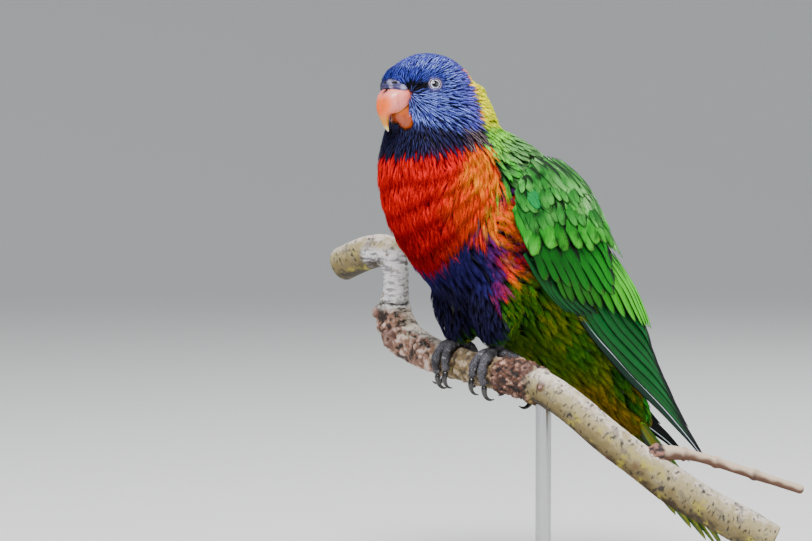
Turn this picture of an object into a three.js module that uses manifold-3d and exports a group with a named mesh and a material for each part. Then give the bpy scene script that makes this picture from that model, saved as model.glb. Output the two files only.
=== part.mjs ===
// A rainbow lorikeet perched on a cut length of branch, life size, with the branch held up by a plain display stand.
// Millimetres, +Z up. The bird faces -Y, with its left side towards +X. The origin is the middle of the stand's underside.
import * as THREE from "three";
import { mergeVertices } from "three/addons/utils/BufferGeometryUtils.js";
import Module from "manifold-3d";

const wasm = await Module();
wasm.setup();
const { clamp, degToRad, lerp, smoothstep } = THREE.MathUtils;

// Driving sizes
const GAP = 0.3; // between pieces that touch
const SLIVER = 0.05; // faces thinner than this are taken out
const PERCH_HEIGHT = 110; // from the floor to the top of the branch between the feet
const PERCH_FROM_CENTRE = [-16, -30]; // where that point is, from the middle of the base
const BASE = { width: 150, depth: 130, thick: 9, corner: 16, bevel: 1.5 };
const ROD = { radius: 3.5, x: 50, y: 3, foot: 9, footThick: 2 };

// The body's cross-sections from the neck to the root of the tail, evenly spaced along it, in the bird's own frame, whose
// origin is the top of the branch between the feet: the middle's y and z, the half width, and the depths of belly and back.
const BODY = [
  { y: -17, z: 131.5, half: 16, front: 20, back: 23 },
  { y: -18.5, z: 109, half: 22.5, front: 22.5, back: 26 },
  { y: -16, z: 92, half: 27, front: 33, back: 30 },
  { y: -8, z: 77.5, half: 31.5, front: 38.5, back: 35.5 },
  { y: 5, z: 63.5, half: 34.5, front: 39.5, back: 40 },
  { y: 18, z: 50.5, half: 35.5, front: 39.5, back: 41.5 },
  { y: 31, z: 37, half: 35, front: 38, back: 39.5 },
  { y: 46, z: 21, half: 32, front: 34, back: 36 },
  { y: 61, z: 5, half: 27, front: 28, back: 29.5 },
  { y: 76, z: -13, half: 21, front: 21, back: 20 },
  { y: 90, z: -30, half: 16, front: 13, back: 9 },
  { y: 101, z: -43, half: 11, front: 7, back: 5 },
];
const BODY_MESH = { around: 24, along: 24, cap: 0.085 };
const NECK_CUT = { y: -12, z: 85, tilt: 60 }; // a plane across the base of the neck, its tilt in degrees

// The head is an egg about its own centre, reaching this far each way, turned a little towards the bird's left.
const HEAD = { y: -25.5, z: 117, yaw: 8, front: 21.5, back: 23, half: 20, up: 19.5, down: 23, chin: 0.35 };
const EYE = { forward: 10.7, up: 5.5, radius: 4.2, sunk: 3.5, opening: 3.3, lid: 0.8, proud: 0.32 };
const CERE = { forward: 20.2, up: 5.6, long: 3.6, half: 8, high: 3.4 };
const NOSTRIL = { forward: 23, aside: 4.6, up: 6.9, radius: 0.9, deep: 1.3, pitch: 55, splay: 25 };
// Bill sections from root to tip in the head's frame: forward, up, half width, and depths towards the ridge and the mouth
const UPPER_BILL = [
  { f: 12, z: 1.8, half: 7, top: 4.4, under: 4 },
  { f: 18.5, z: 0.8, half: 7.6, top: 4.8, under: 4.6 },
  { f: 23.3, z: -1.8, half: 6.6, top: 5.2, under: 4.8 },
  { f: 25.8, z: -6.2, half: 4.6, top: 3.2, under: 4.4 },
  { f: 25.8, z: -10.4, half: 2.2, top: 2, under: 1.9 },
  { f: 23.6, z: -15.2, half: 0.8, top: 0.7, under: 0.7 },
];
const LOWER_BILL = [
  { f: 8, z: -7.6, half: 6.6, top: 5, under: 5.8 },
  { f: 14, z: -9.8, half: 7, top: 5.6, under: 6.2 },
  { f: 18.6, z: -10.8, half: 5.8, top: 5.2, under: 4.6 },
  { f: 21.8, z: -9.8, half: 2.4, top: 2.6, under: 2.2 },
];

// The folded wings lie on a cape of round sections about the body, one every 20 mm from above the shoulder to the tips.
const CAPE_STEP = 20;
const CAPE = [
  { y: -4.5, z: 74, r: 41 },
  { y: 10.5, z: 60.5, r: 44.5 },
  { y: 24.5, z: 46.5, r: 44.5 },
  { y: 38.5, z: 31.5, r: 40.5 },
  { y: 53, z: 17.5, r: 36.5 },
  { y: 68, z: 4, r: 31 },
  { y: 81.6, z: -10.5, r: 26 },
  { y: 95.2, z: -25, r: 21 },
  { y: 109.7, z: -39.5, r: 15.5 },
  { y: 125, z: -53, r: 10 },
  { y: 140, z: -66.5, r: 6 },
];
const CAPE_START = -20;
const CAPE_NARROW = 0.9; // its width as a share of its depth
const WING_EDGE = 116; // degrees round the cape from the middle of the back to the wing's lower edge
const WING_CORE = {
  start: -14,
  end: 128,
  thick: 7.5,
  tip: 0.2, // its thickness at the end as a share of the start's
  edge: 0.9, // how far its outer side falls towards both edges
  tuck: 2.5, // and how much further towards the upper one
  along: 9,
  across: 4,
  low: [20, 8, 3.5, 2.5, 2.5, 3, 4, 6], // mm up the wing of its lower edge, evenly spaced along it
  high: [40, 60, 68, 66, 57, 44, 31, 18], // and of its upper edge
};
// A vane's thickness, how far its root sinks and its tip stands out, how much each laps over the next, the share of its
// width at its root and at its tip, and the power by which its cross-sections crowd towards the tip
const VANE = { thick: 0.6, sunk: -1.3, raised: 1.7, step: 0.95, root: 0.72, tip: 0.16, crowd: 1.35 };
// Each row of wing feathers from the lower one to the upper one: places are mm along the wing and mm up from its lower edge
const WING_ROWS = [
  { count: 7, root: [[46, 4.5], [84, 17]], tip: [[167, 4.5], [114, 19]], width: 7.5, point: 0.45 },
  { count: 8, root: [[42, 14], [54, 54]], tip: [[73, 13], [99, 45]], width: 8.8, point: 0.7 },
  { count: 7, root: [[22, 6], [38, 57]], tip: [[45, 7], [69, 50]], width: 10, point: 0.75 },
  { count: 6, root: [[7, 8], [18, 58]], tip: [[25, 9], [42, 54]], width: 11.5, point: 0.8 },
  { count: 5, root: [[-6, 16], [-2, 50]], tip: [[12, 12], [21, 56]], width: 12, point: 0.85 },
];

const TAIL = {
  y: 92,
  z: -33,
  droop: 50, // degrees below level
  pairs: 6,
  length: 92,
  shorter: 7.5, // each pair than the one above it
  aside: 2.7,
  inner: 6,
  outer: 4.6,
  point: 0.62, // how far along each feather starts to narrow
  fan: 1.1, // degrees from pair to pair
  drop: 1, // each pair lies under the one above it
};
const TAIL_CORE = { start: -14, length: 34, half: 12, thick: 5.5, under: 0.35 };

// The branch's middle line in the bird's frame, with its radius, from the cut stub on the bird's right to the left end
const BRANCH = [
  { x: -92, y: -10, z: 37, r: 8.4 },
  { x: -76, y: -7, z: 42.5, r: 8.2 },
  { x: -63, y: -3.5, z: 44, r: 7.6 },
  { x: -59.5, y: -1.5, z: 36, r: 6.5 },
  { x: -60, y: -1, z: 25, r: 6.4 },
  { x: -61, y: -1, z: 13, r: 9.4 },
  { x: -53.5, y: -0.6, z: 3.6, r: 9.2 },
  { x: -38, y: 0, z: -1.6, r: 8.2 },
  { x: -20, y: 0, z: -5, r: 7.7 },
  { x: 0, y: 0, z: -7.3, r: 7.4 },
  { x: 20, y: 0, z: -8.6, r: 7.4 },
  { x: 38, y: 0.8, z: -10, r: 7.8 },
  { x: 53, y: 4, z: -14.5, r: 7.6 },
  { x: 66, y: 10, z: -23, r: 7.7 },
  { x: 78, y: 18, z: -34, r: 7.8 },
  { x: 89, y: 28, z: -45, r: 8 },
  { x: 100, y: 39.5, z: -56, r: 8.6 },
  { x: 110, y: 51, z: -65, r: 8.4 },
  { x: 120, y: 62, z: -73, r: 8.6 },
  { x: 128, y: 71, z: -79, r: 7.8 },
];
const BRANCH_MESH = { around: 12, along: 38 };
const TWIG = [
  { x: 88, y: 27, z: -44, r: 4.5 },
  { x: 96, y: 36, z: -40.3, r: 4 },
  { x: 104.5, y: 47.5, z: -42, r: 2.8 },
  { x: 118, y: 67, z: -49.5, r: 2.6 },
  { x: 131, y: 86, z: -57, r: 2.5 },
];
// Knots on the branch: how far along it from 0 to 1, the way round it in degrees, how proud and how wide
const KNOTS = [
  { at: 0.27, turn: 190, proud: 3, wide: 5 },
  { at: 0.61, turn: 250, proud: 2.4, wide: 4.5 },
  { at: 0.655, turn: 205, proud: 1.6, wide: 4 },
  { at: 0.8, turn: 60, proud: 1.8, wide: 5 },
];

// Each toe runs round the branch: its places across the branch and its angles from the top, positive to the front
const FOOT = { toe: 2.35, tip: 1.7, pads: 0.22, lift: 0.2, standOff: 2.5 };
// The shank from the sole to the ankle: places from the sole, and its radius
const SHANK = [
  { y: 0, z: 0, r: 3.4 },
  { y: 2.6, z: 3.6, r: 2.9 },
  { y: 5, z: 8, r: 2.9 },
];
const FEET = [
  {
    side: "left",
    x: 17,
    toes: [
      { x: [17, 14, 12.7], turn: [-2, 105] },
      { x: [17.5, 20, 20.3], turn: [-2, 122] },
      { x: [18.5, 29.5, 37], turn: [-12, -142] },
      { x: [17, 15, 14], turn: [-8, -112] },
    ],
  },
  {
    side: "right",
    x: -11.5,
    toes: [
      { x: [-11.5, -9, -7.6], turn: [-2, 105] },
      { x: [-12, -15, -15.6], turn: [-2, 122] },
      { x: [-13, -23, -29], turn: [-12, -142] },
      { x: [-11.5, -9.5, -8.5], turn: [-8, -112] },
    ],
  },
];
const CLAW = { gap: 2.2, turn: 46, lift: 3.4, thick: 1.35, tip: 0.3 };
const THIGH = [
  { y: 4, z: 36, r: 14.5 },
  { y: 1.5, z: 26, r: 13.5 },
  { y: 0.5, z: 16, r: 11 },
  { y: 1, z: 9, r: 7.8 },
  { y: 2, z: 4.6, r: 4.6 },
];

// The smooth line through evenly spaced values, at t from 0 to 1
function smooth(values, t) {
  const last = values.length - 1;
  const place = clamp(t, 0, 1) * last;
  const i = Math.min(Math.floor(place), last - 1);
  const f = place - i;
  const [a, b, c, d] = [-1, 0, 1, 2].map((k) => values[clamp(i + k, 0, last)]);
  return b + 0.5 * f * (c - a + f * (2 * a - 5 * b + 4 * c - d + f * (3 * (b - c) + d - a)));
}

const along = (stations, key, t) => smooth(stations.map((s) => s[key]), t);

// A closed geometry as a manifold-3d solid that faces outwards
function solidOf(geometry) {
  const bare = geometry.clone();
  bare.deleteAttribute("normal");
  bare.deleteAttribute("uv");
  const merged = mergeVertices(bare, 1e-4);
  const vertProperties = merged.attributes.position.array;
  const triVerts = new Uint32Array(merged.index.array);
  const made = new wasm.Manifold(new wasm.Mesh({ numProp: 3, vertProperties, triVerts }));
  if (made.volume() > 0) return made;
  return new wasm.Manifold(new wasm.Mesh({ numProp: 3, vertProperties, triVerts: triVerts.reverse() }));
}

// A geometry with each vertex moved to where place puts it
function reshape(geometry, place) {
  const position = geometry.attributes.position;
  const v = new THREE.Vector3();
  for (let i = 0; i < position.count; i++) {
    const moved = place(v.fromBufferAttribute(position, i));
    position.setXYZ(i, moved.x, moved.y, moved.z);
  }
  return solidOf(geometry);
}

// The largest closed surface of a solid, without its slivers
function largest(solid) {
  const pieces = solid.simplify(SLIVER).decompose();
  return pieces.reduce((a, b) => (b.volume() > a.volume() ? b : a));
}

const union = (pieces) => pieces.reduce((a, b) => a.add(b));

// A round-ended form along the middle of the body, from sections given by sectionAt: middle, sideways, up, and radii
function loft({ around, along: steps, cap }, sectionAt) {
  return reshape(new THREE.SphereGeometry(1, around, steps), (v) => {
    const t = Math.acos(clamp(v.y, -1, 1)) / Math.PI;
    const ring = Math.hypot(v.x, v.z) || 1;
    const [side, rise] = [v.x / ring, v.z / ring];
    const end = clamp(Math.min(t, 1 - t) / cap, 0, 1);
    const full = Math.sqrt(end * (2 - end));
    const s = sectionAt(t);
    return s.middle
      .clone()
      .addScaledVector(s.aside, side * s.half * full)
      .addScaledVector(s.up, rise * (rise > 0 ? s.back : s.front) * full);
  });
}

// The cross-section at t of a form whose stations lie in the plane x = 0. A grown form is longer at both ends too.
function bodySection(stations, keys, t, grow) {
  const [ky, kz] = keys.middle;
  const at = (u) => new THREE.Vector3(0, along(stations, ky, u), along(stations, kz, u));
  const step = 0.01;
  const run = at(Math.min(t + step, 1)).sub(at(Math.max(t - step, 0))).normalize();
  return {
    middle: at(t).addScaledVector(run, grow * (2 * t - 1)),
    aside: new THREE.Vector3(1, 0, 0),
    up: new THREE.Vector3(0, -run.z, run.y),
    half: along(stations, "half", t) + grow,
    front: along(stations, keys.front, t) + grow,
    back: along(stations, keys.back, t) + grow,
  };
}

const bodyForm = (grow) =>
  loft(BODY_MESH, (t) => bodySection(BODY, { middle: ["y", "z"], front: "front", back: "back" }, t, grow));

// A tube along points with their own radii, flat at both ends
function tube(points, around, steps, grow = 0, shape = () => 0) {
  const line = new THREE.CatmullRomCurve3(points.map((p) => new THREE.Vector3(p.x, p.y, p.z)));
  const frames = line.computeFrenetFrames(steps, false);
  const bar = new THREE.CylinderGeometry(1, 1, 1, around, steps);
  return reshape(bar, (v) => {
    const i = Math.round((0.5 - v.y) * steps);
    const t = i / steps;
    const angle = Math.atan2(v.z, v.x);
    const reach = Math.hypot(v.x, v.z) * (along(points, "r", t) + grow + shape(t, angle));
    return line
      .getPoint(t)
      .addScaledVector(frames.normals[i], reach * Math.cos(angle))
      .addScaledVector(frames.binormals[i], reach * Math.sin(angle));
  });
}

// A thin plate: place takes p from root to tip, q from -1 to 1 across, and the face, 1 on top and 0 underneath
function plate(steps, across, place) {
  return reshape(new THREE.BoxGeometry(2, 1, 1, across, 1, steps), (v) => place(v.z + 0.5, v.x, v.y + 0.5));
}

// From the head's frame to the bird's
const inBird = (solid) => solid.rotate([0, 0, HEAD.yaw]).translate([0, HEAD.y, HEAD.z]);

function headEgg(grow) {
  return reshape(new THREE.SphereGeometry(1, 24, 16), (v) =>
    v.multiply(
      new THREE.Vector3(
        HEAD.half + grow,
        (v.y < 0 ? HEAD.front * (1 - HEAD.chin * Math.max(-v.z, 0)) : HEAD.back) + grow,
        (v.z > 0 ? HEAD.up : HEAD.down) + grow,
      ),
    ),
  );
}

// The eye's middle and the way it looks, on the side given by sign
function eyePlace(sign) {
  const share = 1 - (EYE.forward / HEAD.front) ** 2 - (EYE.up / HEAD.up) ** 2;
  const aside = HEAD.half * Math.sqrt(share);
  const look = new THREE.Vector3(
    (sign * aside) / HEAD.half ** 2,
    -EYE.forward / HEAD.front ** 2,
    EYE.up / HEAD.up ** 2,
  ).normalize();
  const middle = new THREE.Vector3(sign * aside, -EYE.forward, EYE.up).addScaledVector(look, -EYE.sunk);
  return { middle, look };
}

function eyeball(sign, grow) {
  const { middle, look } = eyePlace(sign);
  const turn = new THREE.Quaternion().setFromUnitVectors(new THREE.Vector3(0, 1, 0), look);
  return reshape(new THREE.SphereGeometry(EYE.radius + grow, 14, 9), (v) => v.applyQuaternion(turn).add(middle));
}

function lid(sign) {
  const { middle, look } = eyePlace(sign);
  const turn = new THREE.Quaternion().setFromUnitVectors(new THREE.Vector3(0, 0, 1), look);
  const rim = Math.sqrt(EYE.radius ** 2 - (EYE.opening - EYE.lid) ** 2) + EYE.proud;
  return reshape(new THREE.TorusGeometry(EYE.opening, EYE.lid, 6, 14), (v) =>
    v.applyQuaternion(turn).add(middle).addScaledVector(look, rim),
  );
}

// A half of the bill from its sections. The head's frame has forward along -Y.
function billForm(stations, grow, mesh) {
  const side = stations.map((s) => ({ ...s, y: -s.f }));
  return loft(mesh, (t) => {
    const s = bodySection(side, { middle: ["y", "z"], front: "under", back: "top" }, t, grow);
    s.up.negate(); // the run is forward here, so up is the other way from the body's
    return s;
  });
}

const UPPER_MESH = { around: 14, along: 14, cap: 0.06 };
const LOWER_MESH = { around: 14, along: 10, cap: 0.12 };
const upperBill = billForm(UPPER_BILL, 0, UPPER_MESH);
const lowerBill = billForm(LOWER_BILL, 0, LOWER_MESH).subtract(billForm(UPPER_BILL, GAP, UPPER_MESH));

function nostril(sign) {
  const bore = new THREE.CylinderGeometry(NOSTRIL.radius, NOSTRIL.radius, 2 * NOSTRIL.deep, 8);
  return reshape(bore, (v) =>
    v
      .applyEuler(new THREE.Euler(degToRad(NOSTRIL.pitch), 0, degToRad(sign * NOSTRIL.splay)))
      .add(new THREE.Vector3(sign * NOSTRIL.aside, -NOSTRIL.forward, NOSTRIL.up)),
  );
}

function headForm() {
  const cere = reshape(new THREE.SphereGeometry(1, 12, 8), (v) =>
    v.multiply(new THREE.Vector3(CERE.half, CERE.long, CERE.high)).add(new THREE.Vector3(0, -CERE.forward, CERE.up)),
  );
  const made = union([headEgg(0), cere, lid(1), lid(-1)]);
  const cuts = [
    eyeball(1, GAP),
    eyeball(-1, GAP),
    billForm(UPPER_BILL, GAP, UPPER_MESH),
    billForm(LOWER_BILL, GAP, LOWER_MESH),
    nostril(1),
    nostril(-1),
  ];
  return largest(cuts.reduce((a, b) => a.subtract(b), made));
}

// Where the branch's middle line passes a given x near the feet
const branchLine = new THREE.CatmullRomCurve3(BRANCH.map((p) => new THREE.Vector3(p.x, p.y, p.z)));
function branchAt(x) {
  const samples = 400;
  let best = branchLine.getPoint(0.5);
  let radius = 0;
  for (let i = 0; i <= samples; i++) {
    const p = branchLine.getPoint(i / samples);
    if (p.z > 0) continue;
    if (radius && Math.abs(p.x - x) >= Math.abs(best.x - x)) continue;
    best = p;
    radius = along(BRANCH, "r", i / samples);
  }
  return { middle: best, radius };
}

// The branch's surface: knots, and a slow unevenness all along it
function barkShape(t, angle) {
  const length = branchLine.getLength();
  const thickness = 8;
  const wave = 0.25 * Math.sin(angle * 2 + t * 31) + 0.22 * Math.sin(angle * 3 - t * 47);
  return KNOTS.reduce((sum, k) => {
    const run = (t - k.at) * length;
    const round = Math.atan2(Math.sin(angle - degToRad(k.turn)), Math.cos(angle - degToRad(k.turn))) * thickness;
    return sum + k.proud * Math.exp(-(run * run + round * round) / (k.wide * k.wide));
  }, wave);
}

function branchForm(grow) {
  const main = tube(BRANCH, BRANCH_MESH.around, BRANCH_MESH.along, grow, barkShape);
  return main.add(tube(TWIG, 8, 10, grow));
}

// A place round the branch at x: turn in degrees from the top, positive to the front, at a distance from the bark
function roundBranch(x, turn, off) {
  const { middle, radius } = branchAt(x);
  const a = degToRad(turn);
  const reach = radius + off;
  return { x, y: middle.y - reach * Math.sin(a), z: middle.z + reach * Math.cos(a) };
}

function toeForm(toe, grow) {
  const steps = 6;
  const [, end] = toe.turn;
  const over = 1 + grow / 20; // past its own end, about 20 mm on, so that the claw keeps clear
  const points = [...Array(steps + 1).keys()].map((i) => {
    const t = (i / steps) * over;
    const r = lerp(FOOT.toe, FOOT.tip, t) + FOOT.pads * Math.cos(t * steps * Math.PI);
    const off = lerp(FOOT.standOff, FOOT.tip + FOOT.lift, t);
    return { ...roundBranch(smooth(toe.x, t), lerp(toe.turn[0], end, t), off), r };
  });
  return tube(points, 7, 6, grow);
}

function clawForm(toe) {
  const [start, end] = toe.turn;
  const way = Math.sign(end - start);
  const x = toe.x[2];
  const steps = 4;
  const points = [...Array(steps + 1).keys()].map((i) => {
    const t = i / steps;
    const out = FOOT.tip + FOOT.lift + CLAW.lift * Math.sin(t * 0.75 * Math.PI);
    return { ...roundBranch(x, end + way * (CLAW.gap + CLAW.turn * t), out), r: lerp(CLAW.thick, CLAW.tip, t ** 1.4) };
  });
  return tube(points, 6, 5);
}

function footForm(foot, grow) {
  const sole = roundBranch(foot.x, -4, FOOT.standOff);
  const shank = tube(SHANK.map((p) => ({ x: foot.x, y: sole.y + p.y, z: sole.z + p.z, r: p.r })), 9, 3, grow);
  return union([shank, ...foot.toes.map((toe) => toeForm(toe, grow))]);
}

function thighForm(foot) {
  return tube(THIGH.map((s) => ({ x: foot.x, ...s })), 14, 6);
}

// A place on the left wing: mm along it, mm up from its lower edge, and mm out from the cape
function onCape(a, c, out) {
  const t = (a - CAPE_START) / (CAPE_STEP * (CAPE.length - 1));
  const at = (u) => new THREE.Vector3(0, along(CAPE, "y", u), along(CAPE, "z", u));
  const run = at(Math.min(t + 0.01, 1)).sub(at(Math.max(t - 0.01, 0))).normalize();
  const up = new THREE.Vector3(0, -run.z, run.y);
  const r = along(CAPE, "r", t);
  const turn = degToRad(WING_EDGE) - c / r;
  const reach = r + out;
  return at(t)
    .addScaledVector(up, reach * Math.cos(turn))
    .add(new THREE.Vector3(CAPE_NARROW * reach * Math.sin(turn), 0, 0));
}

function wingCore() {
  return plate(WING_CORE.along, WING_CORE.across, (p, q, top) => {
    const a = lerp(WING_CORE.start, WING_CORE.end, p);
    const c = lerp(smooth(WING_CORE.low, p), smooth(WING_CORE.high, p), (1 + q) / 2);
    const ends = Math.sqrt(clamp(Math.min(p / 0.12, (1 - p) / 0.2), 0.02, 1));
    const thick = WING_CORE.thick * ends * lerp(1, WING_CORE.tip, p);
    const edge = -WING_CORE.edge * q * q - WING_CORE.tuck * Math.max(q, 0) ** 4 * (1 - p);
    return onCape(a, c, top ? edge : edge - thick);
  });
}

// One feather of a row, u from 0 at the lower edge to 1 at the upper
function wingVane(row, u) {
  const between = ([from, to], k) => lerp(from[k], to[k], u);
  const pitch = Math.abs(row.tip[1][1] - row.tip[0][1]) / (row.count - 1);
  const tilt = VANE.step / Math.max(pitch, 3);
  return plate(4, 1, (p, q, top) => {
    const t = 1 - (1 - p) ** VANE.crowd;
    const width = row.width * lerp(VANE.root, 1, smoothstep(t, 0, 0.3)) * tipShape(t, row.point);
    const a = lerp(between(row.root, 0), between(row.tip, 0), t);
    const middle = lerp(between(row.root, 1), between(row.tip, 1), t);
    const aside = (q * width) / 2;
    const out = lerp(VANE.sunk, VANE.raised, smoothstep(t, -0.1, 0.6)) - aside * tilt;
    return onCape(a, middle + aside, out + (top ? 0 : -VANE.thick));
  });
}

// The share of a vane's width that is left at t: full to near the tip, then rounded off
function tipShape(t, start) {
  return t < start ? 1 : Math.max(VANE.tip, Math.sqrt(1 - ((t - start) / (1 - start)) ** 2));
}

function wingForm() {
  const vanes = WING_ROWS.flatMap((row) =>
    [...Array(row.count).keys()].map((i) => wingVane(row, i / (row.count - 1))),
  );
  return union([wingCore(), ...vanes]);
}

// The tail's frame: its run down and back, and its upper side
const tailRun = new THREE.Vector3(0, Math.cos(degToRad(TAIL.droop)), -Math.sin(degToRad(TAIL.droop)));
const tailUp = new THREE.Vector3(0, -tailRun.z, tailRun.y);
const onTail = (a, x, out) =>
  new THREE.Vector3(x, TAIL.y, TAIL.z).addScaledVector(tailRun, a).addScaledVector(tailUp, out);

// One tail feather: pair 0 lies on top at the middle, and each further pair is lower, shorter and further out
function tailVane(pair, sign) {
  const length = TAIL.length - TAIL.shorter * pair * (1 + 0.12 * pair);
  const fan = Math.tan(degToRad(TAIL.fan * pair));
  return plate(6, 1, (p, q, top) => {
    const a = length * p;
    const centre = TAIL.aside * (0.5 + pair) + fan * a;
    const inner = Math.min(TAIL.inner, centre - GAP);
    const half = (q < 0 ? inner : TAIL.outer) * tipShape(p, TAIL.point);
    return onTail(a, sign * (centre + q * half), -TAIL.drop * pair - (top ? 0 : VANE.thick));
  });
}

function tailForm() {
  const core = plate(6, 4, (p, q, top) => {
    const thick = TAIL_CORE.thick * (1 - 0.75 * p) * (1 - 0.5 * q * q);
    const place = lerp(TAIL_CORE.start, TAIL_CORE.length, p);
    return onTail(place, q * TAIL_CORE.half, -TAIL_CORE.under - (top ? 0 : thick));
  });
  const pairs = [...Array(TAIL.pairs).keys()];
  return union([core, ...pairs.flatMap((pair) => [tailVane(pair, 1), tailVane(pair, -1)])]);
}

const material = (color, roughness = 0.6, metalness = 0) => new THREE.MeshStandardMaterial({ color, roughness, metalness });
const looks = {
  headBlue: material("#2b3a9a"),
  throat: material("#26246b"),
  breast: material("#e0331a"),
  wing: material("#1f8a2c"),
  tail: material("#3f8f1e"),
  thigh: material("#1f1f5a"),
  bill: material("#e8794a", 0.35),
  eye: material("#0c0b0d", 0.1),
  skin: material("#5c5a60"),
  claw: material("#1b1a1c", 0.35),
  bark: material("#b9ab8f", 0.9),
  wood: material("#3a2a1f", 0.45),
  steel: material("#b8babd", 0.3, 1),
};

function mesh(name, solid, look) {
  const made = largest(solid).getMesh();
  const places = new Float32Array(made.numVert * 3);
  for (let i = 0; i < made.numVert; i++) {
    places.set(made.vertProperties.subarray(i * made.numProp, i * made.numProp + 3), i * 3);
  }
  const geometry = new THREE.BufferGeometry();
  geometry.setAttribute("position", new THREE.BufferAttribute(places, 3));
  geometry.setIndex(new THREE.BufferAttribute(made.triVerts, 1));
  geometry.computeVertexNormals();
  const piece = new THREE.Mesh(geometry, look);
  piece.name = name;
  return piece;
}

// The flesh, each piece cut clear of the ones it meets
const branchSpace = branchForm(GAP);
const bodySpace = bodyForm(GAP);
const headSpace = inBird(headEgg(GAP));
const tilt = degToRad(NECK_CUT.tilt);
const towardsTail = [0, Math.cos(tilt), -Math.sin(tilt)];
const cutAt = NECK_CUT.y * towardsTail[1] + NECK_CUT.z * towardsTail[2];
const body = bodyForm(0).subtract(branchSpace);
const billSpace = inBird(billForm(UPPER_BILL, GAP, UPPER_MESH).add(billForm(LOWER_BILL, GAP, LOWER_MESH)));
const neck = body
  .trimByPlane(towardsTail.map((v) => -v), -(cutAt - GAP / 2))
  .subtract(headSpace)
  .subtract(billSpace);
const torso = body.trimByPlane(towardsTail, cutAt + GAP / 2);
const tail = tailForm().subtract(bodySpace);
const wingLeft = wingForm().trimByPlane([1, 0, 0], GAP).subtract(bodySpace);

const bird = new THREE.Group();
const head = new THREE.Group();
head.position.set(0, HEAD.y, HEAD.z);
head.rotation.z = degToRad(HEAD.yaw);
head.add(
  mesh("head", headForm(), looks.headBlue),
  mesh("bill_upper", upperBill, looks.bill),
  mesh("bill_lower", lowerBill, looks.bill),
  mesh("eye_left", eyeball(1, 0), looks.eye),
  mesh("eye_right", eyeball(-1, 0), looks.eye),
);
bird.add(
  head,
  mesh("neck", neck, looks.throat),
  mesh("torso", torso, looks.breast),
  mesh("tail", tail, looks.tail),
  mesh("wing_left", wingLeft, looks.wing),
  mesh("wing_right", wingLeft.mirror([1, 0, 0]), looks.wing),
);
for (const foot of FEET) {
  const footSpace = footForm(foot, GAP);
  const thigh = thighForm(foot).subtract(bodySpace).subtract(footSpace).subtract(branchSpace);
  bird.add(
    mesh("leg_" + foot.side, thigh, looks.thigh),
    mesh("foot_" + foot.side, footForm(foot, 0).subtract(bodySpace).subtract(branchSpace), looks.skin),
  );
  foot.toes.forEach((toe, i) =>
    bird.add(mesh(`claw_${foot.side}_${i + 1}`, clawForm(toe).subtract(footSpace).subtract(branchSpace), looks.claw)),
  );
}

// The perch and its stand
const stand = new THREE.Group();
const rodTop = branchAt(ROD.x).middle.z;
const floor = -PERCH_HEIGHT;
const baseTop = floor + BASE.thick;
const rodLength = rodTop - baseTop - GAP;
const rod = reshape(new THREE.CylinderGeometry(ROD.radius, ROD.radius, rodLength, 20), (v) =>
  new THREE.Vector3(ROD.x + v.x, ROD.y + v.z, v.y + baseTop + GAP + rodLength / 2),
);
const rodFoot = reshape(new THREE.CylinderGeometry(ROD.foot - 1, ROD.foot, ROD.footThick, 28), (v) =>
  new THREE.Vector3(ROD.x + v.x, ROD.y + v.z, v.y + baseTop + GAP + ROD.footThick / 2),
);

function baseForm() {
  const [w, d, r] = [BASE.width / 2 - BASE.bevel, BASE.depth / 2 - BASE.bevel, BASE.corner];
  const outline = new THREE.Shape();
  outline.moveTo(-w + r, -d);
  outline.lineTo(w - r, -d);
  outline.absarc(w - r, -d + r, r, -Math.PI / 2, 0, false);
  outline.absarc(w - r, d - r, r, 0, Math.PI / 2, false);
  outline.absarc(-w + r, d - r, r, Math.PI / 2, Math.PI, false);
  outline.absarc(-w + r, -d + r, r, Math.PI, 1.5 * Math.PI, false);
  return new THREE.ExtrudeGeometry(outline, {
    depth: BASE.thick - 2 * BASE.bevel,
    bevelEnabled: true,
    bevelThickness: BASE.bevel,
    bevelSize: BASE.bevel,
    bevelSegments: 1,
    curveSegments: 4,
  }).translate(-PERCH_FROM_CENTRE[0], -PERCH_FROM_CENTRE[1], floor + BASE.bevel);
}

stand.add(
  mesh("stand_base", solidOf(baseForm()), looks.wood),
  mesh("stand_rod", rod.add(rodFoot).subtract(branchSpace), looks.steel),
);

const lorikeet = new THREE.Group();
const display = new THREE.Group();
display.position.set(PERCH_FROM_CENTRE[0], PERCH_FROM_CENTRE[1], PERCH_HEIGHT);
display.add(bird, mesh("perch_branch", branchForm(0), looks.bark), stand);
lorikeet.add(display);

export default lorikeet;
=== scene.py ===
# A rainbow lorikeet perched on a cut branch, life size, on a plain display stand, built feather by feather.
import math
from functools import partial

import bmesh
import bpy
import numpy as np
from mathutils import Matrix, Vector, noise
from mathutils.bvhtree import BVHTree
from mathutils.kdtree import KDTree


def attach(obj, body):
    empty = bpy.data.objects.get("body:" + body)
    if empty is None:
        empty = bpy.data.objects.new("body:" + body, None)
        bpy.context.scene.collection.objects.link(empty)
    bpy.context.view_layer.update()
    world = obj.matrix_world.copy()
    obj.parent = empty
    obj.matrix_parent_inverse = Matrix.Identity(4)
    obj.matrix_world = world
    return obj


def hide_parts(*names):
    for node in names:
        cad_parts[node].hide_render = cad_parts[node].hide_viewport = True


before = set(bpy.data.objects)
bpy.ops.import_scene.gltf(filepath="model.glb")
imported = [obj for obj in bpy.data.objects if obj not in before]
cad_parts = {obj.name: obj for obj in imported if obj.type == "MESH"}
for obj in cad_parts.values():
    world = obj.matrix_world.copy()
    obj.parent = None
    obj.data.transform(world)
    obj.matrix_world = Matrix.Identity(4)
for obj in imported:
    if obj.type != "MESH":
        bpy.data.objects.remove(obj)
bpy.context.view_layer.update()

# Sizes are in mm in the bird's frame. Its origin is the top of the branch between the feet, and it faces -Y.
MM = 0.001
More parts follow.
